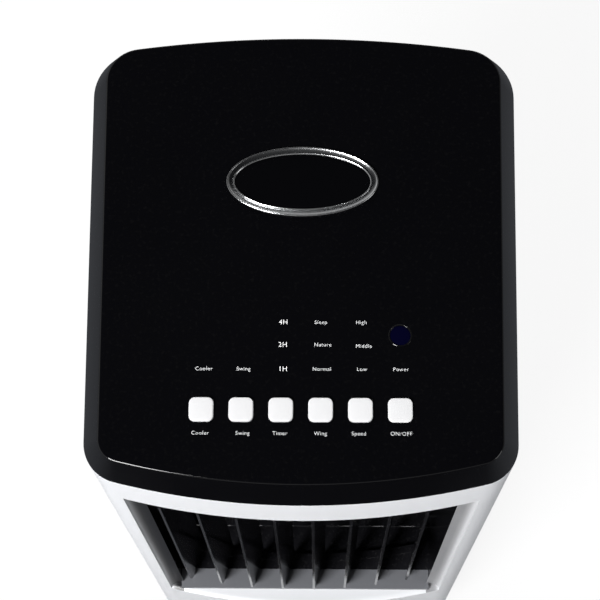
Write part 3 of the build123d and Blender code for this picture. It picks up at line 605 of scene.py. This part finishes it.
def repeat(piece, tree, **values):
    """Run a tree on a piece and keep the result as its plain mesh."""
    tool = piece.modifiers.new("repeat", "NODES")
    tool.node_group = tree
    for item in tree.interface.items_tree:
        key = item.name.lower().replace(" ", "_")
        if item.in_out == "INPUT" and key in values:
            tool[item.identifier] = values[key]
    bake_modifiers(piece)
    return piece


def box_piece(name, low, high):
    """A plain block, only used as the unit that a tree repeats or as a cutter."""
    (x0, y0, z0), (x1, y1, z1) = low, high
    verts = [(x, y, z) for z in (z0, z1) for x, y in ((x0, y0), (x1, y0), (x1, y1), (x0, y1))]
    faces = [(3, 2, 1, 0), (4, 5, 6, 7), (0, 1, 5, 4), (1, 2, 6, 5), (2, 3, 7, 6), (3, 0, 4, 7)]
    return new_piece(name, verts, faces)


# ---------------------------------------------------------------- cap and controls

def make_cap():
    """The bevelled cap with its square key holes and the round hole of the lens."""
    low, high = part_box("top_cap")
    base, top = low.z, high.z
    lip, edge, reach = 2 * MM, 0.6 * MM, 6 * MM
    outer = rounded([(edge, base), (0, base + edge), (0, base + lip), (SIDE_BEVEL, top),
                     (SIDE_BEVEL + reach, top)], 1.4 * MM)
    inner = [(SIDE_BEVEL + WALL, top - WALL), (WALL, base + lip), (WALL, base)]
    ratio = END_BEVEL / SIDE_BEVEL
    rings = [plan_ring(s, s * ratio, z) for s, z in outer]
    rings += [plan_ring(s, max(s * ratio, WALL), z) for s, z in inner]
    count = len(rings[0])
    faces = []
    for k in range(len(rings)):
        after = (k + 1) % len(rings)
        if k == len(outer) - 1:
            faces.append(tuple(k * count + i for i in range(count)))
            faces.append(tuple(after * count + i for i in reversed(range(count))))
            continue
        for i in range(count):
            j = (i + 1) % count
            faces.append((k * count + i, k * count + j, after * count + j, after * count + i))
    cap = new_piece("cap_shell", [point for ring in rings for point in ring], faces)
    through = (top - 10 * MM, top + 10 * MM)
    half, corner = KEY_HALF + KEY_GAP, KEY_ROUND + KEY_GAP
    cutters = []
    for node in keys:
        cx, cy = plan_centre(*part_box(node))
        cutters.append(loft("key_hole", [rounded_rect(cx, cy, half, half, corner, z) for z in through]))
    centre = plan_centre(*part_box("receiver_lens"))
    cutters.append(loft("lens_hole", [oval_ring(centre, LENS_R, LENS_R, z, 64) for z in through]))
    cut(cap, *cutters)
    smooth(cap, 30)
    return settle(cap, "housing", "cap_black", cap_gloss, "top_cap")


def make_key(node):
    """A key with a pillowed top and soft edges, down to its flange under the cap."""
    low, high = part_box(node)
    cx, cy = plan_centre(low, high)
    flange = (high.x - low.x) / 2 - KEY_HALF
    flange_low, flange_top = low.z + 2.0 * MM, low.z + 3.2 * MM
    top, edge = high.z, 1.0 * MM
    profile = [(0, low.z), (0, flange_low), (flange, flange_low), (flange, flange_top), (0, flange_top),
               (0, top - edge)]
    profile += [(-edge * (1 - math.cos(t)), top - edge + 0.72 * MM * math.sin(t))
                for t in (0.3, 0.6, 0.9, 1.2, 1.5)]
    profile += [(-2.6 * MM, top - 0.16 * MM), (-4.6 * MM, top - 0.04 * MM), (-6.4 * MM, top)]
    rings = [rounded_rect(cx, cy, KEY_HALF + s, KEY_HALF + s, max(KEY_ROUND + s * 0.55, 0.6 * MM), z, 8)
             for s, z in profile]
    key = loft(node.replace("button", "key"), rings, smooth_angle=50)
    return settle(key, "key_" + node.split("_")[1], "key_white", key_white, node)


# Section of the badge's rim, as millimetres inwards and up: a thin bead, a sloping channel and a round bead
BADGE_RIM = (
    (0, 0), (0, 1.05), (0.15, 1.35), (0.4, 1.5), (0.7, 1.45), (0.9, 1.3), (1.0, 1.2), (2.4, 0.75), (4.0, 0.2),
    (4.15, 0.95), (4.35, 1.35), (4.6, 1.55), (4.9, 1.5), (5.2, 1.2), (5.4, 0.8), (5.5, 0.4), (5.5, 0),
)


def make_badge():
    """The plated rim and, inside it, a slightly crowned blank plate."""
    low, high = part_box("badge_ring")
    centre = plan_centre(low, high)
    rx, ry = (high.x - low.x) / 2, (high.y - low.y) / 2
    steps = 128
    rings = [oval_ring(centre, rx - inset * MM, ry - inset * MM, low.z + rise * MM, steps)
             for inset, rise in BADGE_RIM]
    badge = loft("badge_rim", rings, closed_loop=True, smooth_angle=60)
    settle(badge, "housing", "badge_metal", bright_plate, "badge_ring")
    low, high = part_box("badge_inlay")
    ix, iy = (high.x - low.x) / 2, (high.y - low.y) / 2
    rings = [oval_ring(centre, ix, iy, low.z, steps)]
    for k in range(12):
        t = k / 12
        level = low.z + (high.z - low.z) * (0.6 + 0.4 * t ** 0.5)
        rings.append(oval_ring(centre, ix * (1 - t), iy * (1 - t), level, steps))
    plate = loft("badge_plate", rings, smooth_angle=50)
    settle(plate, "housing", "badge_black", badge_gloss, "badge_inlay")


def make_lens():
    """The domed receiver lens on its flange, and a thin collar round it on the cap."""
    low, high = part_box("receiver_lens")
    centre = plan_centre(low, high)
    flange = (high.x - low.x) / 2
    shoulder = low.z + 1.4 * MM
    radius = LENS_R - 0.05 * MM
    profile = [(flange, low.z), (flange, shoulder), (radius, shoulder)]
    for k in range(9):
        t = k / 8 * math.pi / 2
        profile.append((radius * math.cos(t * 0.985), high.z - 0.5 * MM * (1 - math.sin(t))))
    lens = loft("receiver_window", [oval_ring(centre, r, r, z, 48) for r, z in profile], smooth_angle=50)
    settle(lens, "housing", "lens_navy", lens_dark, "receiver_lens")
    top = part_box("top_cap")[1].z
    collar = ((0.8, 0.02), (0.45, 0.3), (0.15, 0.3), (0, 0.05))
    rings = [oval_ring(centre, LENS_R + out * MM, LENS_R + out * MM, top + rise * MM, 64)
             for out, rise in collar]
    settle(loft("lens_collar", rings, closed_loop=True, smooth_angle=60), "housing", "cap_black", cap_gloss)


def make_legend(name, words, cap_height, thicken, material):
    """Printed words on the cap, as thin flat letters."""
    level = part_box("top_cap")[1].z + 0.04 * MM
    shape = bmesh.new()
    for body, x, y in words:
        text = bpy.data.curves.new(name, "FONT")
        text.body = body
        text.align_x = "CENTER"
        text.align_y = "CENTER"
        text.size = cap_height / FONT_CAPITAL
        text.extrude = PRINT_THICK
        text.offset = thicken
        text.space_character = 1.1
        text.resolution_u = 4
        letter = linked(name, text)
        bpy.context.view_layer.update()
        mesh = bpy.data.meshes.new_from_object(letter.evaluated_get(bpy.context.evaluated_depsgraph_get()))
        mesh.transform(Matrix.Translation((x * MM, y * MM, level)))
        shape.from_mesh(mesh)
        bpy.data.objects.remove(letter)
        bpy.data.meshes.remove(mesh)
    joined = bpy.data.meshes.new(name)
    shape.to_mesh(joined)
    shape.free()
    settle(linked(name, joined), "housing", "key_white", material)


keys = [n for n in frame["nodes"] if n.startswith("button_")]
make_cap()
for key_node in keys:
    make_key(key_node)
make_badge()
make_lens()
make_legend("legend_words", LEGEND_WORDS, 2.6 * MM, -0.03 * MM, print_white)
make_legend("legend_hours", LEGEND_HOURS, 3.3 * MM, 0.02 * MM, print_bold)

# ---------------------------------------------------------------- shells and louvres

BODY_OF = {n: b for b, names in frame["record"]["behaviour"]["bodies"].items() for n in names}
SLOT_OF = {s["node"]: s["material_slot"] for s in frame["record"]["subparts"]}

for node, width, material in (
    ("rear_grille", 0.4 * MM, shell_white),
    ("base_tray", 0.6 * MM, base_black),
    ("louvre_frame", 0.6 * MM, louvre_black),
    ("water_tank", 0.8 * MM, tank_frost),
):
    settle(soften(node, width), BODY_OF[node], SLOT_OF[node], material, node)
for node in sorted(frame["nodes"]):
    if node.startswith(("blade_", "vane_")):
        settle(soften(node, 0.5 * MM), BODY_OF[node], SLOT_OF[node], louvre_black, node)
    if node.startswith("caster_fork"):
        settle(soften(node, 0.5 * MM), BODY_OF[node], SLOT_OF[node], fork_black, node)
    if node.startswith("caster_wheel"):
        settle(soften(node, 0.4 * MM), BODY_OF[node], SLOT_OF[node], rubber, node)

for node, material in (
    ("control_board", board_green), ("board_screws", steel), ("cord_gland", rubber),
    ("deck", inner_grey), ("scroll_housing", inner_grey), ("pad_frame", inner_grey), ("feed_trough", inner_grey),
    ("blower_wheel", fan_grey), ("fan_shaft", steel), ("fan_bush", brass), ("fan_motor", motor_can),
    ("swing_motor", motor_can), ("riser_pipe", pipe_milky), ("pump", pump_black), ("level_window", window_clear),
):
    paint(node, material)


def make_front_frame():
    """The bowed front with its outlet: a deep hollow reveal at the sides, a crisp one above and below."""
    low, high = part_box("front_frame")
    frame_low, frame_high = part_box("louvre_frame")
    rim, bar, gap = 5 * MM, 6 * MM, 0.2 * MM
    opening = frame_high.x - rim
    sill, lintel = frame_low.z + bar, frame_high.z - bar
    reveal_y = frame_low.y - gap
    hole_z = (sill - BEZEL_UP, lintel + BEZEL_UP)
    shape = outline()
    tangent = shape["front_corner"][0].x + shape["front_corner"][1] * math.cos(shape["front"][2])
    hole_x = min(opening + 2 * MM, tangent - 0.5 * MM)
    bow_steps = 14
    stops = [hole_x * k / bow_steps for k in range(bow_steps + 1)]
    columns = end_columns(shape, "front", stops, high.y)
    levels = [low.z, hole_z[0], hole_z[1], high.z]
    inside = [abs((columns[i][0].x + columns[i + 1][0].x) / 2) < hole_x for i in range(len(columns) - 1)]
    quads = shell_faces(columns, levels, lambda i, k: k == 1 and inside[i])
    front_reach = low.y + BOW_DEPTH
    hole_columns = [c for c in columns if abs(c[0].x) < hole_x + 1e-6 and c[0].y < front_reach]

    def ring(xs, zs, depth, back=None):
        """Once round the opening: along the sill, then back along the lintel."""
        scale = xs / hole_x
        points = []
        for z, order in ((zs[0], 1), (zs[1], -1)):
            for place, _ in hole_columns[::order]:
                x = place.x * scale
                y = back if back is not None else bow_point(shape["front"], x).y + depth
                points.append(Vector((x, y, z)))
        return points

    side_depth = reveal_y - bow_point(shape["front"], hole_x - BEZEL_IN).y
    rings = [ring(hole_x, hole_z, 0.0)]
    for k in range(1, BEZEL_STEPS + 1):
        t = k / BEZEL_STEPS * math.pi / 2
        up = BEZEL_UP * math.sin(min(3 * t, math.pi / 2))
        zs = (hole_z[0] + up, hole_z[1] - up)
        rings.append(ring(hole_x - BEZEL_IN * (1 - math.cos(t)), zs, side_depth * math.sin(t)))
    inner_z = (sill, lintel)
    rings.append(ring(hole_x - BEZEL_IN, inner_z, 0, back=reveal_y))
    rings.append(ring(hole_x, (sill - WALL, lintel + WALL), 0, back=reveal_y))
    last = []
    for z, order in ((hole_z[0], 1), (hole_z[1], -1)):
        last += [Vector((*(p - n * WALL), z)) for p, n in hole_columns[::order]]
    rings.append(last)
    # the rims that shell_faces made round the opening give way to the bezel
    quads = [q for q in quads if not is_hole_rim(q, hole_x, hole_z)]
    count = len(rings[0])
    for near, far in zip(rings, rings[1:]):
        for i in range(count):
            j = (i + 1) % count
            quads.append([near[i], near[j], far[j], far[i]])

    def by_opening(place):
        beyond = 4 * MM
        return abs(place.x) < hole_x + MM and hole_z[0] - beyond < place.z < hole_z[1] + beyond

    piece = from_quads("front_shell", quads, angle=55, spare=by_opening)
    # painted shade: the front's white darkens into the outlet's side reveals, near black on the left and grey on
    # the right
    paint_shade_into_outlet(front_white, hole_x, hole_x - BEZEL_IN - 0.3 * MM, hole_z[0], hole_z[1])
    return settle(piece, "housing", "shell_white", front_white, "front_frame")


def is_hole_rim(quad, hole_x, hole_z):
    """Whether a quad is one of the short faces through the wall round the outlet."""
    tiny, tall = 0.01 * MM, 100 * MM
    level = all(abs(v.z - hole_z[0]) < tiny for v in quad) or all(abs(v.z - hole_z[1]) < tiny for v in quad)
    within = all(abs(v.x) < hole_x + tiny for v in quad)
    depth = max(v.y for v in quad) - min(v.y for v in quad)
    upright = max(v.z for v in quad) - min(v.z for v in quad) > tall
    at_side = all(hole_x - 1.5 * MM < abs(v.x) < hole_x + tiny for v in quad)
    return within and ((level and depth < BOW_DEPTH) or (upright and at_side))


def make_side_panel(node, side):
    """A flat side wall between the two end shells; side is 1 for +X and -1 for -X."""
    low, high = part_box(node)
    shape = outline()
    turn = shape["side_angle"]
    away = Vector((math.cos(turn), math.sin(turn)))
    steps = 8
    columns = []
    for k in range(steps + 1):
        y = low.y + (high.y - low.y) * k / steps
        place = side_point(shape, y)
        columns.append((Vector((side * place.x, place.y)), Vector((side * away.x, away.y))))
    quads = shell_faces(columns, [low.z, high.z], lambda i, k: False)
    piece = from_quads(node.replace("panel", "shell"), quads)
    return settle(piece, "housing", "shell_white", shell_white, node)


def make_rear_panel():
    """The bowed back with the openings for the grille and the tank."""
    low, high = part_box("rear_panel")
    grille_low, grille_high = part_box("rear_grille")
    tank_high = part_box("water_tank")[1]
    gap = 0.4 * MM
    intake_x, door_x = grille_high.x + gap, tank_high.x + 1 * MM
    shape = outline()
    tangent = shape["back_corner"][0].x + shape["back_corner"][1] * math.cos(shape["back"][2])
    stops = [intake_x * k / 8 for k in range(9)] + [(intake_x + door_x) / 2, door_x, (door_x + tangent) / 2]
    columns = end_columns(shape, "back", stops, low.y)
    door_top = tank_high.z + 1 * MM
    levels = [low.z, door_top, grille_low.z - gap, grille_high.z + gap, high.z]
    middle = [(columns[i][0] + columns[i + 1][0]) / 2 for i in range(len(columns) - 1)]

    def is_open(i, k):
        return (k == 0 and abs(middle[i].x) < door_x) or (k == 2 and abs(middle[i].x) < intake_x)

    piece = from_quads("rear_shell", shell_faces(columns, levels, is_open))
    return settle(piece, "housing", "shell_white", shell_white, "rear_panel")


def join(name, *pieces):
    """One piece from several meshes; the pieces themselves are removed."""
    shape = bmesh.new()
    for piece in pieces:
        shape.from_mesh(piece.data)
    mesh = bpy.data.meshes.new(name)
    shape.to_mesh(mesh)
    shape.free()
    for piece in pieces:
        bpy.data.objects.remove(piece)
    return linked(name, mesh)


def make_sill():
    """A grey lip over the louvre frame's lower bar, just under the blades; its grey is darkened as painted shade.
    """
    low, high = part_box("louvre_frame")
    inset, rise, thick = 14.5 * MM, 10.6 * MM, 0.5 * MM
    before, behind, gap, foot = 6 * MM, 11 * MM, 0.1 * MM, 5.5 * MM
    side, top, face = high.x - inset, low.z + rise, low.y - gap
    step = box_piece("sill_step", (-side, low.y - before, low.z + foot), (side, face, top))
    lip = box_piece("sill_lip", (-side, face, top - thick), (side, low.y + behind, top))
    settle(join("louvre_sill", step, lip), "housing", "louvre_black", sill_grey)


def level_ring(cx, cz, radius, y, steps=24):
    """A circle that faces the back, as points."""
    turns = [2 * math.pi * k / steps for k in range(steps)]
    return [Vector((cx + radius * math.cos(t), y, cz + radius * math.sin(t))) for t in turns]


def make_back_screws():
    """Pan-head screws with a cross recess, in two columns and three rows."""
    low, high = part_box("housing_screws")
    head = 3.6 * MM
    x, z = low.x + head, low.z + head
    seat = high.y - 1.6 * MM
    profile = [(1.6, low.y), (1.6, seat), (3.6, seat), (3.6, seat + 0.5 * MM), (3.3, seat + 1.1 * MM),
               (2.5, seat + 1.45 * MM), (1.2, high.y)]
    screw = loft("back_screws", [level_ring(x, z, r * MM, y) for r, y in profile])
    arm, half = 2.1 * MM, 0.4 * MM
    blocks = [box_piece("recess", (x - a, seat + 0.4 * MM, z - b), (x + a, high.y + MM, z + b))
              for a, b in ((arm, half), (half, arm))]
    cut(screw, *blocks)
    repeat(screw, ROWS, columns=2, rows=3, column_step=(high.x - low.x - 2 * head, 0, 0),
           row_step=(0, 0, (high.z - low.z - 2 * head) / 2), material=steel)
    smooth(screw, 35)
    settle(screw, "housing", "screw_steel", None, "housing_screws")


def make_filter():
    """The dust filter: woven threads in a flat rim."""
    low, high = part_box("dust_filter")
    rim, pitch, thread = 4 * MM, 2.6 * MM, 0.45 * MM
    middle = (low.y + high.y) / 2
    across = int((high.x - low.x - 2 * rim) // pitch)
    upward = int((high.z - low.z - 2 * rim) // pitch)
    bars = [
        box_piece("rim_bar", low, (low.x + rim, high.y, high.z)),
        box_piece("rim_bar", (high.x - rim, low.y, low.z), high),
        box_piece("rim_bar", (low.x + rim, low.y, low.z), (high.x - rim, high.y, low.z + rim)),
        box_piece("rim_bar", (low.x + rim, low.y, high.z - rim), (high.x - rim, high.y, high.z)),
    ]
    warp = box_piece("warp", (low.x + rim + pitch / 2, middle, low.z + rim),
                     (low.x + rim + pitch / 2 + thread, middle + thread, high.z - rim))
    repeat(warp, ROWS, columns=across, rows=1, column_step=(pitch, 0, 0), material=filter_nylon)
    weft = box_piece("weft", (low.x + rim, middle - thread, low.z + rim + pitch / 2),
                     (high.x - rim, middle, low.z + rim + pitch / 2 + thread))
    repeat(weft, ROWS, columns=1, rows=upward, row_step=(0, 0, pitch), material=filter_nylon)
    settle(join("filter_weave", warp, weft, *bars), "filter", "filter_mesh", filter_nylon, "dust_filter")


def make_pad():
    """The cooling pad: a honeycomb of paper cells, open from back to front."""
    low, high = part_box("cooling_pad")
    cell, web = 10 * MM, 0.55 * MM
    reach = cell / 2 / math.cos(math.pi / 6)
    x, z = low.x + reach, low.z + reach
    rings = []
    for size, y in ((reach, low.y), (reach, high.y), (reach - web, high.y), (reach - web, low.y)):
        rings.append([Vector((x + size * math.sin(k * math.pi / 3), y, z + size * math.cos(k * math.pi / 3)))
                      for k in range(6)])
    pad = loft("pad_cells", rings, closed_loop=True, smooth_angle=20)
    columns = int((high.x - low.x - cell / 2) // cell)
    rows = int((high.z - low.z - 2 * reach) // (1.5 * reach)) + 1
    repeat(pad, ROWS, columns=columns, rows=rows, column_step=(cell, 0, 0), row_step=(0, 0, 1.5 * reach),
           odd_shift=(cell / 2, 0, 0), material=pad_paper)
    settle(pad, "housing", "pad_paper", None, "cooling_pad")


def make_level_marks():
    """Raised marks beside the tank's window."""
    low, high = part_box("level_window")
    count, margin, aside = 6, 5 * MM, 9 * MM
    long, thick, sunk, proud = 6 * MM, 0.9 * MM, 0.6 * MM, 0.25 * MM
    x, z = low.x - aside, low.z + margin
    y = bow_point(outline()["back"], x).y
    mark = box_piece("level_marks", (x, y - sunk, z), (x + long, y + proud, z + thick))
    step = (high.z - low.z - 2 * margin) / (count - 1)
    repeat(mark, ROWS, columns=1, rows=count, row_step=(0, 0, step), material=tank_frost)
    settle(mark, "tank", "tank_blue", None)


def make_hub_ribs(number):
    """Ribs in the dished faces of a caster's wheel."""
    low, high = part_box(f"caster_wheel_{number}")
    centre = (low + high) / 2
    shallow, shade_amount, half, hub, rim = 0.7 * MM, 2.7 * MM, 0.6 * MM, 5.6 * MM, 13.4 * MM
    sides = []
    for inner, outer in ((low.x + shallow, low.x + shade_amount), (high.x - shade_amount, high.x - shallow)):
        rib = box_piece("hub_rib", (inner, -half, hub), (outer, half, rim))
        repeat(rib, ROUND, count=6, axis=(1, 0, 0), centre=(0, centre.y, centre.z), material=rubber)
        sides.append(rib)
    settle(join(f"wheel_ribs_{number}", *sides), BODY_OF[f"caster_wheel_{number}"], "wheel_black", rubber)


make_sill()
make_back_screws()
make_filter()
make_pad()
make_level_marks()
for wheel in range(1, 5):
    make_hub_ribs(wheel)
make_front_frame()
make_side_panel("side_panel_left", -1)
make_side_panel("side_panel_right", 1)
make_rear_panel()

# ---------------------------------------------------------------- floor, light and camera

def make_floor():
    """Pale paper floor: white to look at and as a light, but gloss mirrors it dim."""
    half = 30.0
    floor = new_piece("floor", [(-half, -half, 0), (half, -half, 0), (half, half, 0), (-half, half, 0)],
                      [(0, 1, 2, 3)])
    mat = bpy.data.materials.new("studio_floor")
    mat.use_nodes = True
    tree = mat.node_tree
    paper = tree.nodes["Principled BSDF"]
    for key, value in (("Base Color", (0.6, 0.6, 0.6, 1)), ("Roughness", 0.95), ("Specular IOR Level", 0.0)):
        paper.inputs[key].default_value = value
    place = add(tree, "ShaderNodeTexCoord").outputs["Object"]
    flat = add(tree, "ShaderNodeVectorMath", {0: place}, operation="NORMALIZE").outputs[0]
    x = add(tree, "ShaderNodeSeparateXYZ", {0: flat}).outputs["X"]
    colour = ramp(tree, maths(tree, "ABSOLUTE", x), (0.3, (0.01, 0.01, 0.01, 1)), (0.9, (0.2, 0.21, 0.23, 1)))
    dim = add(tree, "ShaderNodeEmission", {"Color": colour})
    seen = add(tree, "ShaderNodeEmission", {"Strength": 1.08})
    ray = add(tree, "ShaderNodeLightPath").outputs
    mirrored = blend(tree, ray["Is Glossy Ray"], paper, dim)
    lit = blend(tree, 0.8, paper, seen)
    looked_at = blend(tree, ray["Is Camera Ray"], mirrored, lit)
    link(tree, looked_at.outputs[0], tree.nodes["Material Output"].inputs["Surface"])
    floor.data.materials.append(mat)


def blend(tree, factor, first, second):
    """A mix of two shaders."""
    return add(tree, "ShaderNodeMixShader", {0: factor, 1: first.outputs[0], 2: second.outputs[0]})


def ramp(tree, factor, *stops):
    """A colour ramp between two stops, as a socket."""
    node = add(tree, "ShaderNodeValToRGB", {"Fac": factor})
    for stop, (position, colour) in zip(node.color_ramp.elements, stops):
        stop.position, stop.color = position, colour
    return node.outputs["Color"]


def softbox(name, place, aim, width, height, power, mirrored=True):
    """A flat light that looks at a point, and that gloss may mirror or not."""
    lamp = bpy.data.lights.new(name, "AREA")
    lamp.shape = "RECTANGLE"
    lamp.size = width
    lamp.size_y = height
    lamp.energy = power
    holder = linked(name, lamp)
    holder.visible_glossy = mirrored
    holder.location = place
    holder.rotation_euler = (Vector(aim) - Vector(place)).to_track_quat("-Z", "Y").to_euler()


def make_world():
    """Pale round the horizon and brighter on the left, dark overhead where the gloss cap mirrors it."""
    world = bpy.data.worlds.new("studio")
    scene.world = world
    world.use_nodes = True
    tree = world.node_tree
    place = add(tree, "ShaderNodeTexCoord").outputs["Generated"]
    x, _, z = add(tree, "ShaderNodeSeparateXYZ", {0: place}).outputs
    colour = ramp(tree, z, (0.3, (1, 1, 1, 1)), (0.68, (0.012, 0.013, 0.016, 1)))
    across = add(tree, "ShaderNodeMapRange", {"Value": x, "From Min": -1.0, "To Min": 0.6, "To Max": 0.15})
    around = tree.nodes["Background"]
    link(tree, colour, around.inputs["Color"])
    link(tree, across.outputs["Result"], around.inputs["Strength"])
    backdrop = add(tree, "ShaderNodeBackground", {"Color": (0.93, 0.93, 0.93, 1)})
    seen = blend(tree, add(tree, "ShaderNodeLightPath").outputs["Is Camera Ray"], around, backdrop)
    link(tree, seen.outputs[0], tree.nodes["World Output"].inputs["Surface"])


def make_camera():
    """Looks down on the cap from in front, as someone standing at the cooler does."""
    eye = Vector((11.25, -373.64, 1640.33)) * MM
    forward = Vector((-0.0118, 0.3272, -0.9449)).normalized()
    up = Vector((-0.0043, 0.9449, 0.3272))
    right = forward.cross(up).normalized()
    up = right.cross(forward)
    turn = Matrix((right, up, -forward)).transposed().to_4x4()
    lens = bpy.data.cameras.new("camera")
    lens.lens = 96
    lens.sensor_width = 36
    lens.clip_start = 0.01
    lens.clip_end = 100
    camera = linked("camera", lens)
    camera.matrix_world = Matrix.Translation(eye) @ turn
    scene.camera = camera


make_floor()
make_world()
scene.view_settings.view_transform = "Standard"
# place and aim in metres, then width and height in metres and power in watts
softbox("key_softbox", (-1.25, -1.75, 2.45), (0, 0, 0.5), 1.1, 1.1, 112)
softbox("right_softbox", (1.9, -0.9, 1.2), (0, 0, 0.45), 0.9, 1.2, 5)
softbox("back_softbox", (-0.5, 2.3, 1.3), (0, 0, 0.4), 1.4, 1.4, 40, mirrored=False)
softbox("right_back_softbox", (2.4, 1.2, 1.2), (0, 0, 0.4), 1.0, 1.4, 18, mirrored=False)
make_camera()
